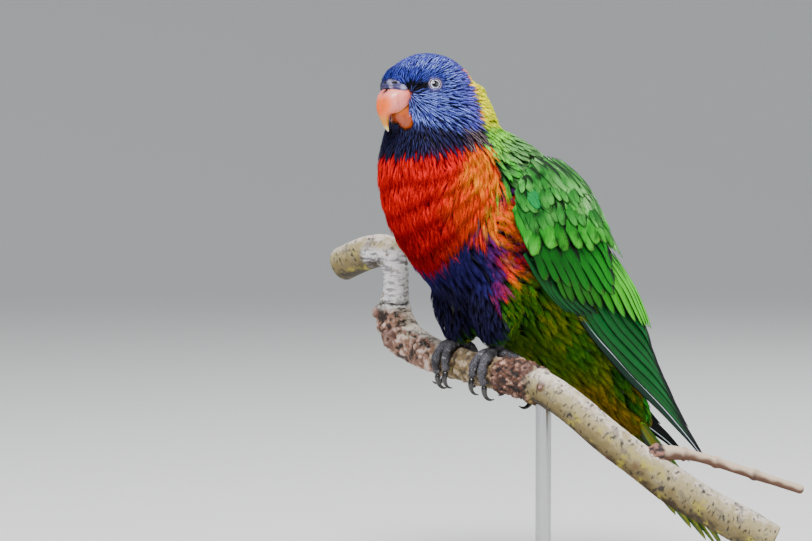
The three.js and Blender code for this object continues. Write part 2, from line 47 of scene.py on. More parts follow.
PERCH = np.array([-16, -30, 110.0])  # where that origin is in the part's frame

# The middle line of the body from the crown to the root of the tail: y and z
SPINE = np.array(
    [
        (-17, 131.5), (-18.5, 109), (-16, 92), (-8, 77.5), (5, 63.5), (18, 50.5),
        (31, 37), (46, 21), (61, 5), (76, -13), (90, -30), (101, -43),
    ],
    float,
)
# The head's middle and its turn in degrees, and how far it reaches to the front, the side and the top
HEAD = {"y": -25.5, "z": 117.0, "yaw": 8.0, "front": 21.5, "half": 20.0, "up": 19.5}
# How far forward and up an eye sits in the head's frame, its radius and depth, and the bare ring's radius
EYE = {"forward": 10.7, "up": 5.5, "radius": 4.2, "sunk": 3.0, "rim": 3.3}
BILL_ROOT = np.array([0, -19.5, 1.5])  # where the feathers of the head spread from, in the head's frame

# The folded wings lie on a cape of round sections about the body, one every 20 mm: y, z and radius
CAPE = np.array(
    [
        (-4.5, 74, 41), (10.5, 60.5, 44.5), (24.5, 46.5, 44.5), (38.5, 31.5, 40.5), (53, 17.5, 36.5),
        (68, 4, 31), (81.6, -10.5, 26), (95.2, -25, 21), (109.7, -39.5, 15.5), (125, -53, 10),
        (140, -66.5, 6),
    ],
    float,
)
# Where the cape starts and its step, its narrowing across, and how far round it the wing's lower edge lies
CAPE_START, CAPE_STEP, CAPE_NARROW, WING_EDGE = -20, 20, 0.9, 116
# The root of the tail, and its slope in degrees
TAIL = {"y": 92.0, "z": -33.0, "droop": 50.0}


def linear(code):
    """An sRGB hex colour as linear red, green and blue."""
    parts = [int(code[k : k + 2], 16) / 255 for k in (1, 3, 5)]
    return np.array([c / 12.92 if c <= 0.04045 else ((c + 0.055) / 1.055) ** 2.4 for c in parts])


def ease(x, low, high):
    """0 below low, 1 above high and smooth between them."""
    t = np.clip((np.asarray(x, float) - low) / (high - low), 0, 1)
    return t * t * (3 - 2 * t)


def mix(a, b, share):
    """Colours or places between a, at a share of 0, and b, at a share of 1."""
    return a + (b - a) * np.asarray(share)[..., None]


def layered(colour, *layers):
    """A colour with others laid over it in turn, each a hex code and its share at each place."""
    colour = linear(colour) if isinstance(colour, str) else colour
    for code, share in layers:
        colour = mix(colour, linear(code), share)
    return colour


def unit(v):
    return v / np.maximum(np.linalg.norm(v, axis=-1, keepdims=True), 1e-9)


def through(values, t):
    """The smooth line through evenly spaced values at t from 0 to 1."""
    last = len(values) - 1
    place = np.clip(t, 0, 1) * last
    i = np.minimum(place.astype(int), last - 1)
    f = place - i
    if values.ndim > 1:
        f = f[..., None]
    a, b, c, d = (values[np.clip(i + k, 0, last)] for k in (-1, 0, 1, 2))
    return b + 0.5 * f * (c - a + f * (2 * a - 5 * b + 4 * c - d + f * (3 * (b - c) + d - a)))


def ripple(p, size, seed, waves=6):
    """A smooth unevenness from about -1 to 1 that changes over size mm."""
    draw = np.random.default_rng(seed)
    run = draw.normal(size=(waves, p.shape[-1])) / size
    return np.sin(p @ run.T + draw.uniform(0, 6.28, waves)).mean(-1) * 1.7


def in_part(p):
    """A point of the bird in the part's frame, in metres."""
    return (p + PERCH) * MM


# Samples of the body's middle line, how far along it they lie, and its way there
LINE_T = np.linspace(0, 1, 320)
LINE = through(SPINE, LINE_T)
LINE_S = np.concatenate([[0], np.cumsum(np.linalg.norm(np.diff(LINE, axis=0), axis=1))])
LINE_RUN = unit(np.gradient(LINE, axis=0))


def body_place(p):
    """How far down the body a point is, its turn in degrees from the belly's middle, and the way tailward."""
    dy = p[:, None, 1] - LINE[:, 0]
    dz = p[:, None, 2] - LINE[:, 1]
    ahead = dy * LINE_RUN[:, 0] + dz * LINE_RUN[:, 1]
    k = np.argmin(np.abs(ahead) + 0.02 * np.hypot(dy, dz), axis=1)
    rise = (p[:, 1] - LINE[k, 0]) * -LINE_RUN[k, 1] + (p[:, 2] - LINE[k, 1]) * LINE_RUN[k, 0]
    turn = np.degrees(np.arctan2(p[:, 0], -rise))
    run = np.stack([np.zeros(len(p)), LINE_RUN[k, 0], LINE_RUN[k, 1]], 1)
    return LINE_S[k], turn, run


def turned(p, degrees):
    """Points turned about the upright axis."""
    c, s = math.cos(math.radians(degrees)), math.sin(math.radians(degrees))
    return np.stack([c * p[..., 0] - s * p[..., 1], s * p[..., 0] + c * p[..., 1], p[..., 2]], -1)


HEAD_AT = np.array([0, HEAD["y"], HEAD["z"]])


def in_head(p):
    """A point of the bird in the head's own frame."""
    return turned(p - HEAD_AT, -HEAD["yaw"])


def from_head(p):
    """A point of the head's own frame in the bird's."""
    return turned(np.asarray(p, float), HEAD["yaw"]) + HEAD_AT


def eye_place(sign):
    """The middle of an eye and the way it looks, in the bird's frame."""
    share = 1 - (EYE["forward"] / HEAD["front"]) ** 2 - (EYE["up"] / HEAD["up"]) ** 2
    spot = np.array([sign * HEAD["half"] * math.sqrt(share), -EYE["forward"], EYE["up"]])
    look = unit(spot / np.array([HEAD["half"], HEAD["front"], HEAD["up"]]) ** 2)
    return from_head(spot - look * EYE["sunk"]), turned(look, HEAD["yaw"])


def eye_axes(sign):
    """An eye's middle, and its ways aside, up and out."""
    middle, look = eye_place(sign)
    side = unit(np.cross(look, [0, 0, 1.0]))
    return middle, (side, np.cross(side, look), look)


def off(middle, axes, *reach):
    """Points at so many mm along each axis from the middle."""
    for axis, far in zip(axes, reach):
        middle = middle + axis * far[:, None]
    return middle


def cape(a, c, out):
    """A place on the left wing: mm along it, mm up from its lower edge and mm out from the cape."""
    t = (np.asarray(a, float) - CAPE_START) / (CAPE_STEP * (len(CAPE) - 1))
    middle = through(CAPE[:, :2], t)
    run = unit(through(CAPE[:, :2], t + 0.01) - through(CAPE[:, :2], t - 0.01))
    r = through(CAPE[:, 2], t)
    turn = math.radians(WING_EDGE) - c / r
    reach = r + out
    rise = reach * np.cos(turn)
    y, z = middle[..., 0] - run[..., 1] * rise, middle[..., 1] + run[..., 0] * rise
    return np.stack([CAPE_NARROW * reach * np.sin(turn), y, z], -1)


# Materials


def add_node(tree, kind, inputs=None, out=0, **settings):
    """Adds a node with its settings and with links or values on its sockets, and gives one of its outputs."""
    node = tree.nodes.new("ShaderNode" + kind)
    for name, value in settings.items():
        setattr(node, name, value)
    for socket, value in (inputs or {}).items():
        if isinstance(value, bpy.types.NodeSocket):
            tree.links.new(value, node.inputs[socket])
        else:
            node.inputs[socket].default_value = value
    return None if out is None else node.outputs[out]


def new_look(name):
    """An empty material, and what adds nodes to it."""
    look = bpy.data.materials.new(name)
    look.use_nodes = True
    look.node_tree.nodes.clear()
    return look, partial(add_node, look.node_tree)


def finished(look, inputs):
    surface = add_node(look.node_tree, "BsdfPrincipled", inputs)
    add_node(look.node_tree, "OutputMaterial", {"Surface": surface}, out=None)
    return look


def rgba(code):
    return (*linear(code), 1.0)


def vane_look(name, pitch, contrast, rim, rim_share, streak, rough, gloss):
    """Keratin vanes of barbs hooked side by side: fine slanting lines with a soft sheen, and a paler shaft.

    pitch is the barbs' spacing in mm, drawn about twice as coarse as the real ones so that it shows, and
    streak is half the shaft's width in mm.
    """
    look, node = new_look(name)
    tint = node("Attribute", attribute_name="tint")
    shaft = node("Attribute", attribute_name="streak")
    shows = node("Attribute", out=3, attribute_name="streak")
    vane = node("Attribute", out=1, attribute_name="vane")
    barb = node("Attribute", out=1, attribute_name="barb")
    u, v, seed = (node("SeparateXYZ", {0: vane}, out=k) for k in range(3))
    along, across = (node("SeparateXYZ", {0: barb}, out=k) for k in range(2))
    aside = node("Math", {0: across}, operation="ABSOLUTE")
    slant = node("Math", {0: aside, 1: -1.25, 2: along}, operation="MULTIPLY_ADD")
    line = node("Math", {0: slant, 1: 1 / pitch}, operation="MULTIPLY")
    slow = node("Math", {0: aside, 1: 0.35}, operation="MULTIPLY")
    own = node("Math", {0: seed, 1: 97.0}, operation="MULTIPLY")
    spot = node("CombineXYZ", {0: line, 1: slow, 2: own})
    lines = node("TexNoise", {"Vector": spot, "Scale": 1.0, "Detail": 2.0, "Roughness": 0.6})
    value = node("MapRange", {0: lines, 1: 0.3, 2: 0.7, 3: 1 - contrast, 4: 1 + contrast})
    colour = node("HueSaturation", {"Color": tint, "Value": value})
    width = node("Math", {0: v}, operation="ABSOLUTE")
    edge = node("MapRange", {0: width, 1: 0.8, 2: 0.95, 3: 0.0, 4: rim_share})
    colour = node("Mix", {0: edge, 6: colour, 7: rgba(rim)}, out=2, data_type="RGBA")
    core = node("MapRange", {0: aside, 1: streak, 2: streak * 0.35, 3: 0.0, 4: 1.0})
    late = node("MapRange", {0: u, 1: 0.05, 2: 0.3, 3: 0.0, 4: 1.0})
    core = node("Math", {0: core, 1: shows}, operation="MULTIPLY")
    core = node("Math", {0: core, 1: late}, operation="MULTIPLY")
    colour = node("Mix", {0: core, 6: colour, 7: shaft}, out=2, data_type="RGBA")
    relief = node("Bump", {"Height": lines, "Strength": 0.5, "Distance": 0.25 * MM})
    keratin = {"Roughness": rough, "IOR": 1.54, "Specular IOR Level": gloss}
    return finished(look, {"Base Color": colour, "Normal": relief, **keratin})


def painted_look(name, grain, low, high, relief, rough, scatter=0.0, coat=0.0, rough_spread=0.1):
    """A surface whose painted colour is broken up by a grain of so many mm, which lifts it by relief mm."""
    look, node = new_look(name)
    tint = node("Attribute", attribute_name="tint")
    place = node("TexCoord", out=3)
    grit = node("TexNoise", {"Vector": place, "Scale": 1 / (grain * MM), "Detail": 4.0, "Roughness": 0.6})
    value = node("MapRange", {0: grit, 1: 0.3, 2: 0.7, 3: low, 4: high})
    colour = node("HueSaturation", {"Color": tint, "Value": value})
    bump = node("Bump", {"Height": grit, "Strength": 0.7, "Distance": relief * MM})
    gloss = node("MapRange", {0: grit, 1: 0.3, 2: 0.7, 3: rough - rough_spread, 4: rough + rough_spread})
    depth = {"Subsurface Weight": scatter, "Subsurface Scale": 0.8 * MM}
    film = {"Coat Weight": coat, "Coat Roughness": 0.12}
    body = {"Base Color": colour, "Normal": bump, "Roughness": gloss, "IOR": 1.54}
    return finished(look, {**body, **depth, **film})


def scale_look():
    """Dry horny scales on toes: small plates about 0.8 mm across with paler middles and dark seams."""
    look, node = new_look("scaly_foot_skin")
    tint = node("Attribute", attribute_name="tint")
    chart = node("Attribute", out=1, attribute_name="chart")
    cells = node("TexVoronoi", {"Vector": chart, "Scale": 1.0}, feature="DISTANCE_TO_EDGE")
    seam = node("MapRange", {0: cells, 1: 0.0, 2: 0.22, 3: 0.25, 4: 1.15})
    place = node("TexCoord", out=3)
    grit = node("TexNoise", {"Vector": place, "Scale": 1 / (0.5 * MM), "Detail": 3.0})
    vary = node("MapRange", {0: grit, 1: 0.3, 2: 0.7, 3: 0.7, 4: 1.3})
    value = node("Math", {0: seam, 1: vary}, operation="MULTIPLY")
    colour = node("HueSaturation", {"Color": tint, "Value": value})
    plates = node("MapRange", {0: cells, 1: 0.0, 2: 0.3, 3: 0.0, 4: 1.0}, interpolation_type="SMOOTHSTEP")
    bump = node("Bump", {"Height": plates, "Strength": 0.8, "Distance": 0.3 * MM})
    return finished(look, {"Base Color": colour, "Normal": bump, "Roughness": 0.5, "IOR": 1.5})


def eye_look():
    """A wet eye: a black pupil, a pale grey ring that is a painted highlight on the iris, and a dark outer
    ring under a clear, smooth tear film.
    """
    look, node = new_look("wet_eye")
    ring = node("Attribute", out=2, attribute_name="ring")
    place = node("TexCoord", out=3)
    rays = node("TexNoise", {"Vector": place, "Scale": 1 / (0.35 * MM), "Detail": 3.0})
    pale = node("MapRange", {0: rays, 1: 0.35, 2: 0.65, 3: 0.65, 4: 1.15})
    # The pale grey-white ring is painted highlight: light on the iris painted into its colour
    iris_painted_pale = node("HueSaturation", {"Color": rgba("#dce4f4"), "Value": pale})
    dark = node("MapRange", {0: ring, 1: 1.28, 2: 1.4, 3: 0.0, 4: 1.0}, interpolation_type="SMOOTHSTEP")
    inner = node("MapRange", {0: ring, 1: 1.64, 2: 1.76, 3: 0.0, 4: 1.0}, interpolation_type="SMOOTHSTEP")
    outer = node("MapRange", {0: ring, 1: 2.0, 2: 2.12, 3: 0.0, 4: 1.0}, interpolation_type="SMOOTHSTEP")
    colour = node("Mix", {0: dark, 6: rgba("#040406"), 7: rgba("#343048")}, out=2, data_type="RGBA")
    colour = node("Mix", {0: inner, 6: colour, 7: iris_painted_pale}, out=2, data_type="RGBA")
    colour = node("Mix", {0: outer, 6: colour, 7: rgba("#161424")}, out=2, data_type="RGBA")
    film = {"Coat Weight": 1.0, "Coat Roughness": 0.02}
    return finished(look, {"Base Color": colour, "Roughness": 0.12, "IOR": 1.38, **film})


def walnut_look():
    """Oiled walnut, planed and sanded: dark growth lines along the board, with fine open pores."""
    look, node = new_look("oiled_walnut")
    place = node("TexCoord", out=3)
    board = node("Mapping", {"Vector": place, "Scale": (6.0, 90.0, 60.0)})
    sway = node("TexNoise", {"Vector": board, "Scale": 1.0, "Detail": 3.0})
    figure = node("Mapping", {"Vector": place, "Scale": (18.0, 420.0, 300.0)})
    lines = node("TexNoise", {"Vector": figure, "Scale": 1.0, "Detail": 5.0, "Distortion": 0.6})
    open_grain = node("Mapping", {"Vector": place, "Scale": (160.0, 2600.0, 2600.0)})
    pores = node("TexNoise", {"Vector": open_grain, "Scale": 1.0, "Detail": 2.0})
    base = node("Mix", {0: sway, 6: rgba("#4a2a18"), 7: rgba("#7a4c2e")}, out=2, data_type="RGBA")
    dark = node("MapRange", {0: lines, 1: 0.42, 2: 0.62, 3: 0.0, 4: 0.7})
    colour = node("Mix", {0: dark, 6: base, 7: rgba("#2a160c")}, out=2, data_type="RGBA")
    pit = node("MapRange", {0: pores, 1: 0.6, 2: 0.7, 3: 0.0, 4: 0.6})
    colour = node("Mix", {0: pit, 6: colour, 7: rgba("#180c06")}, out=2, data_type="RGBA")
    bump = node("Bump", {"Height": pit, "Strength": 0.4, "Distance": -0.1 * MM})
    oil = {"Coat Weight": 0.25, "Coat Roughness": 0.2}
    return finished(look, {"Base Color": colour, "Normal": bump, "Roughness": 0.42, "IOR": 1.5, **oil})


def steel_look():
    """Stainless steel rod, brushed along its length: fine streaks that spread the highlight."""
    look, node = new_look("brushed_stainless_steel")
    place = node("TexCoord", out=3)
    brush = node("Mapping", {"Vector": place, "Scale": (4500.0, 4500.0, 90.0)})
    streaks = node("TexNoise", {"Vector": brush, "Scale": 1.0, "Detail": 3.0})
    rough = node("MapRange", {0: streaks, 1: 0.3, 2: 0.7, 3: 0.2, 4: 0.42})
    value = node("MapRange", {0: streaks, 1: 0.3, 2: 0.7, 3: 0.85, 4: 1.1})
    colour = node("HueSaturation", {"Color": rgba("#c4c4c6"), "Value": value})
    bump = node("Bump", {"Height": streaks, "Strength": 0.25, "Distance": 0.02 * MM})
    return finished(look, {"Base Color": colour, "Normal": bump, "Metallic": 1.0, "Roughness": rough})


def backdrop_look():
    """Matt white paper with a fine tooth."""
    look, node = new_look("pale_paper_floor")
    place = node("TexCoord", out=3)
    tooth = node("TexNoise", {"Vector": place, "Scale": 900.0, "Detail": 3.0})
    value = node("MapRange", {0: tooth, 1: 0.3, 2: 0.7, 3: 0.97, 4: 1.03})
    colour = node("HueSaturation", {"Color": rgba("#f2f2f0"), "Value": value})
    return finished(look, {"Base Color": colour, "Roughness": 0.85})


# Meshes


def shown(name, mesh, look, replaced=()):
    """A finished piece that rides on the model and stands for the named nodes."""
    piece = bpy.data.objects.new(name, mesh)
    bpy.context.scene.collection.objects.link(piece)
    mesh.materials.append(look)
    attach(piece, "root")
    if replaced:
        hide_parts(*replaced)


def values_of(data, name):
    """A value of three numbers of each item, as rows."""
    values = np.empty(len(data) * 3)
    data.foreach_get(name, values)
    return values.reshape(-1, 3)


def points_of(mesh):
    return values_of(mesh.vertices, "co") / MM - PERCH


def normals_of(mesh):
    return values_of(mesh.vertex_normals, "vector")


def chart_of(mesh):
    return values_of(mesh.attributes["chart"].data, "vector")


def marked(mesh, name, kind, values):
    """Gives each point of a mesh a named value."""
    field = {"FLOAT_COLOR": "color", "FLOAT_VECTOR": "vector", "FLOAT": "value"}[kind]
    mesh.attributes.new(name, kind, "POINT").data.foreach_set(field, values.astype(np.float32).ravel())


def tinted(mesh, colours):
    """Paints each point of a mesh, or all of it with one colour."""
    count = len(mesh.vertices)
    rows = np.column_stack([np.broadcast_to(colours, (count, 3)), np.ones(count)])
    marked(mesh, "tint", "FLOAT_COLOR", rows)
    return mesh


def set_points(mesh, points):
    mesh.vertices.foreach_set("co", in_part(points).ravel())
    mesh.update()


def fused(name, nodes, voxel, rounds, swell):
    """Copies of CAD nodes, each swelled by so many mm, as one closed mesh with its voxels in mm."""
    bm = bmesh.new()
    for node in nodes:
        bm.from_mesh(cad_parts[node].data)
    bmesh.ops.remove_doubles(bm, verts=bm.verts, dist=0.002 * MM)
    bm.normal_update()
    for vert in bm.verts:
        vert.co += vert.normal * swell * MM
    rough = bpy.data.meshes.new(name + "_rough")
    bm.to_mesh(rough)
    bm.free()
    carrier = bpy.data.objects.new(name + "_rough", rough)
    bpy.context.scene.collection.objects.link(carrier)
    remesh = carrier.modifiers.new("fuse", "REMESH")
    remesh.mode = "VOXEL"
    remesh.voxel_size = voxel * MM
    smooth = carrier.modifiers.new("smooth", "SMOOTH")
    smooth.factor = 0.5
    smooth.iterations = rounds
    bpy.context.view_layer.update()
    made = bpy.data.meshes.new_from_object(carrier.evaluated_get(bpy.context.evaluated_depsgraph_get()))
    made.name = name
    bpy.data.objects.remove(carrier)
    bpy.data.meshes.remove(rough)
    return made


class Hull:
    """The outer form of the plumage, on which feathers are laid, raised in places by relief mm."""

    def __init__(self, mesh, relief=None):
        if relief is not None:
            points = points_of(mesh)
            set_points(mesh, points + normals_of(mesh) * relief(points)[:, None])
        self.points = points_of(mesh)
        mesh.calc_loop_triangles()
        corners = np.empty(len(mesh.loop_triangles) * 3, int)
        mesh.loop_triangles.foreach_get("vertices", corners)
        self.tris = corners.reshape(-1, 3)
        self.tree = BVHTree.FromPolygons(self.points.tolist(), self.tris.tolist())
        self.normals = normals_of(mesh)
        self.corner = self.points[self.tris]

    def nearest(self, spots):
        """The nearest places on the hull and the smooth way out there."""
        places, outs = np.empty_like(spots), np.empty_like(spots)
        for i, spot in enumerate(spots.tolist()):
            place, _, face, _ = self.tree.find_nearest(spot)
            places[i] = place
            outs[i] = self.normals[self.tris[face]].mean(0)
        return places, unit(outs)

    def scatter(self, gap_at, seed, crowd=4.5):
        """Evenly spread places, gap_at mm apart, and none where that is 0."""
        draw = np.random.default_rng(seed)
        first, second, third = (self.corner[:, k] for k in range(3))
        area = np.linalg.norm(np.cross(second - first, third - first), axis=1)
        gap = gap_at(self.corner.mean(1))
        weight = np.where(gap > 0, area / 2 / np.maximum(gap, 0.1) ** 2, 0)
        pick = draw.choice(len(weight), int(crowd * weight.sum()), p=weight / weight.sum())
        share = np.sort(draw.random((len(pick), 2)), axis=1)
        parts = np.stack([share[:, 0], share[:, 1] - share[:, 0], 1 - share[:, 1]], 1)
        spots = (self.corner[pick] * parts[..., None]).sum(1)
        gap = gap_at(spots)
        near = KDTree(len(spots))
        for i, spot in enumerate(spots.tolist()):
            near.insert(spot, i)
        near.balance()
        free = [g > 0 for g in gap]
        kept = []
        for i, spot in enumerate(spots.tolist()):
            if free[i]:
                kept.append(i)
                for _, j, _ in near.find_range(spot, gap[i]):
                    free[j] = False
        return spots[kept]


SECTION = {  # across a vane, v from -1 to 1 with its rise in half thicknesses, round a closed loop
    "fine": [(-1, 0), (0, 1), (1, 0), (0, -1)],
    "broad": [(-1, 0), (-0.5, 0.7), (0, 1), (0.5, 0.7), (1, 0), (0, -0.8)],
    "quill": [(-1, 0.1), (-0.86, 0.5), (-0.45, 0.6), (-0.07, 0.7), (0, 1.6), (0.07, 0.7), (0.45, 0.6),
              (0.86, 0.5), (1, 0.1), (0.5, -0.5), (0, -0.9), (-0.5, -0.5)],
}


def loops_of(count, rings, size):
    """The faces of count closed tubes of rings rings, each of size points, with flat ends."""
    ring = np.arange(rings - 1)[:, None] * size
    k = np.arange(size)[None, :]
    after = (k + 1) % size
    quads = np.stack([ring + k, ring + after, ring + size + after, ring + size + k], -1).reshape(-1)
    ends = np.concatenate([np.arange(size)[::-1], (rings - 1) * size + np.arange(size)])
    one = np.concatenate([quads, ends])
    sizes = np.array([4] * ((rings - 1) * size) + [size, size])
    start = np.arange(count)[:, None] * rings * size
    return (start + one[None, :]).ravel(), np.tile(sizes, count)


def stacked(shape, *values):
    """Values side by side over a whole shape, each spread out to fill it."""
    return np.stack([np.broadcast_to(value, shape) for value in values], -1)


PATCH = 0.003  # the width of a feather's patch on the baking map


def chunk_of(co, tint, streak, vane, barb, root_uv):
    """A batch of vanes, all arrays [feather, ring, point, value], with their faces and baking patches."""
    count, rings, size = co.shape[:3]
    loops, sizes = loops_of(count, rings, size)
    uv = root_uv[:, None, None, :] + PATCH * np.stack([vane[..., 1] / 2, vane[..., 0] - 0.5], -1)
    return {
        "co": co.reshape(-1, 3),
        "loops": loops,
        "sizes": sizes,
        "tint": np.broadcast_to(tint, co.shape).reshape(-1, 3),
        "streak": np.broadcast_to(streak, (*co.shape[:3], 4)).reshape(-1, 4),
        "vane": vane.reshape(-1, 3),
        "barb": barb.reshape(-1, 3),
        "uv": uv.reshape(-1, 2),
    }


def joined(name, chunks):
    """One mesh from batches of vanes."""
    whole = {key: np.concatenate([c[key] for c in chunks]) for key in chunks[0] if key != "loops"}
    offsets = np.cumsum([0] + [len(c["co"]) for c in chunks])
    loops = np.concatenate([c["loops"] + o for c, o in zip(chunks, offsets)])
    starts = np.concatenate([[0], np.cumsum(whole["sizes"])[:-1]])
    mesh = bpy.data.meshes.new(name)
    mesh.vertices.add(len(whole["co"]))
    mesh.vertices.foreach_set("co", in_part(whole["co"]).astype(np.float32).ravel())
    mesh.loops.add(len(loops))
    mesh.polygons.add(len(starts))
    mesh.polygons.foreach_set("loop_start", starts.astype(np.int32))
    mesh.polygons.foreach_set("vertices", loops.astype(np.int32))
    mesh.polygons.foreach_set("use_smooth", np.ones(len(starts), bool))
    mesh.update(calc_edges=True)
    tinted(mesh, whole["tint"])
    marked(mesh, "streak", "FLOAT_COLOR", whole["streak"])
    for key in ("vane", "barb"):
        marked(mesh, key, "FLOAT_VECTOR", whole[key])
    mesh.uv_layers.new(name="OFBake").data.foreach_set("uv", whole["uv"][loops].astype(np.float32).ravel())
    return mesh


def lie_at(p):
    """The way the coat lies: out from the bill over the head, then down the body to the tail."""
    s, turn, run = body_place(p)
    h = in_head(p)
    centre = BILL_ROOT + np.stack([np.clip(h[:, 0], -9, 9), 0 * s, 0 * s], 1)
    spread = turned(unit(h - centre), HEAD["yaw"])
    leg = ease(40 - p[:, 2], 4, 20) * ease(60 - np.abs(turn), 10, 30) * ease(112 - s, 0, 12)
    return unit(mix(mix(spread, run, ease(s, 22, 42)), np.array([0, -0.05, -1.0]), leg * 0.8))


def lay(hull, root, heading, length, rings, deep, lift, bend):
    """The spines of feathers from root, following the hull: points, ways out and ways aside, ring by ring."""
    spot = root
    step = (length / (rings - 1))[:, None]
    spine, outs, asides = [], [], []
    for k in range(rings):
        place, out = hull.nearest(spot)
        if k:
            heading = unit(mix(heading, lie_at(place), bend / rings))
        heading = unit(heading - out * (heading * out).sum(1, keepdims=True))
        u = k / (rings - 1)
        height = -deep + (deep + lift) * (1 - (1 - u) ** 1.7)
        spine.append(place + out * height[:, None])
        outs.append(out)
        asides.append(np.cross(heading, out))
        spot = place + heading * step
    return np.stack(spine, 1), np.stack(outs, 1), np.stack(asides, 1)


def width_at(u, start, power, root=0.45):
    """The share of a feather's width at u: narrow at the root, full, then closed to its tip from start."""
    close = np.clip((u - start) / (1 - start), 0, 1)
    return (root + (1 - root) * ease(u, 0, 0.35)) * np.maximum((1 - close**power) ** (1 / power), 0.06)


def chart_uv(p):
    """A feather's place on an unwrap of the skin: round the body, and along it."""
    s, turn, _ = body_place(p)
    return np.stack([0.5 + turn / 380, 0.02 + 0.96 * np.clip(s / 230, 0, 1)], 1)


def coat(hull, bed, rings, section="fine", fringe=0):
    """A batch of body feathers on the hull. bed gives each its root, sizes and colours."""
    count = len(bed["root"])
    heading = bed.get("heading", lie_at(bed["root"]))
    wander = np.radians(bed["wander"])
    _, out = hull.nearest(bed["root"])
    heading = unit(heading - out * (heading * out).sum(1, keepdims=True))
    heading = heading * np.cos(wander)[:, None] + np.cross(heading, out) * np.sin(wander)[:, None]
    spine, outs, asides = lay(
        hull, bed["root"], heading, bed["length"], rings, bed["deep"], bed["lift"], bed["bend"]
    )
    u = np.linspace(0, 1, rings)
    v, rise = np.array(SECTION[section], float).T
    full = (count, rings, len(v))
    half = bed["half"][:, None] * width_at(u[None, :], bed["close"][:, None], bed["power"][:, None])
    thick = bed["thick"][:, None] * (0.35 + 0.65 * np.sqrt(1 - u * 0.95))[None, :] / 2
    across = half[..., None] * v
    height = thick[..., None] * rise - bed["cup"][:, None, None] * half[..., None] * v**2
    co = spine[:, :, None] + asides[:, :, None] * across[..., None] + outs[:, :, None] * height[..., None]
    vane = stacked(full, u[None, :, None], v, bed["seed"][:, None, None])
    barb = stacked(full, (u[None, :] * bed["length"][:, None])[..., None], across, 0.0)
    colours = np.stack([bed["low"], bed["mid"], bed["tip"]], 1)
    # Painted shade along each feather, ring by ring, from coat_shade
    shade = np.stack([coat_shade(spine[:, k]) for k in range(rings)], 1)
    tint = (stops(colours, u) * shade[..., None])[:, :, None]
    uv = chart_uv(bed["root"])
    chunks = [chunk_of(co, tint, bed["streak"][:, None, None], vane, barb, uv)]
    if fringe:
        chunks.append(fringe_of(bed, spine, outs, asides, half, fringe, uv))
    return chunks


def stops(colours, u):
    """Colours from low at the root through mid at 0.5 to tip at 0.9, at each u; the darker root is partly the
    feather's own base and partly painted shade where it lies under the feathers above.
    """
    first = ease(u, 0.15, 0.5)[None, :, None]
    second = ease(u, 0.5, 0.92)[None, :, None]
    low, mid, tip = (colours[:, k, None] for k in range(3))
    return low + (mid - low) * first + (tip - mid) * second


def fringe_of(bed, spine, outs, asides, half, each, uv):
    """Loose barbs along the outer half of soft feathers, as thin tapered blades."""
    count, rings = spine.shape[:2]
    draw = np.random.default_rng(7 * count + each)
    u = 0.42 + 0.56 * draw.random((count, each))
    sign = np.where(np.arange(each) % 2 == 0, 1.0, -1.0)[None, :] * np.ones((count, 1))
    place = u * (rings - 1)
    i = np.minimum(place.astype(int), rings - 2)
    f = place - i
    row = np.arange(count)[:, None]

    def between(values):
        share = f[..., None] if values.ndim > 2 else f
        return values[row, i] * (1 - share) + values[row, i + 1] * share

    thin = bed["thin"][:, None, None]
    out, aside = unit(between(outs)), unit(between(asides))
    shift = (sign * between(half) * draw.uniform(0.1, 0.9, (count, each)))[..., None]
    base = between(spine) + out * thin + aside * shift
    spread = np.radians(draw.uniform(4, 30, (count, each)) * (1.25 - u)) * bed["spread"][:, None]
    way = np.cross(out, aside) * np.cos(spread)[..., None] + aside * (np.sin(spread) * sign)[..., None]
    way = unit(way + out * draw.uniform(-0.03, 0.12, (count, each))[..., None])
    reach = (bed["fringe_length"][:, None] * draw.uniform(0.6, 1.2, (count, each)))[..., None]
    corner = [base - aside * thin, base + aside * thin, base + out * thin]
    end = [base + way * reach + (b - base) * 0.15 for b in corner]
    full = (count * each, 2, 3)
    co = np.stack([np.stack(ring, 2) for ring in (corner, end)], 2).reshape(*full, 3)
    tip, loose, seed, patch = (np.repeat(x, each, axis=0) for x in (bed["tip"], bed["barb"], bed["seed"], uv))
    # Each barb's brightness varies at random and also takes the coat's painted shade where its middle lies
    glow = draw.uniform(0.7, 1.3, count * each) * coat_shade((base + way * reach * 0.5).reshape(-1, 3))
    tint = mix(tip, loose, draw.random(count * each)) * glow[:, None]
    vane = stacked(full, u.reshape(-1)[:, None, None], 0.0, seed[:, None, None])
    clear_of_shaft = stacked(full, 3.0, 2.0, 0.0)
    return chunk_of(co, tint[:, None, None], np.zeros((1, 1, 1, 4)), vane, clear_of_shaft, patch)
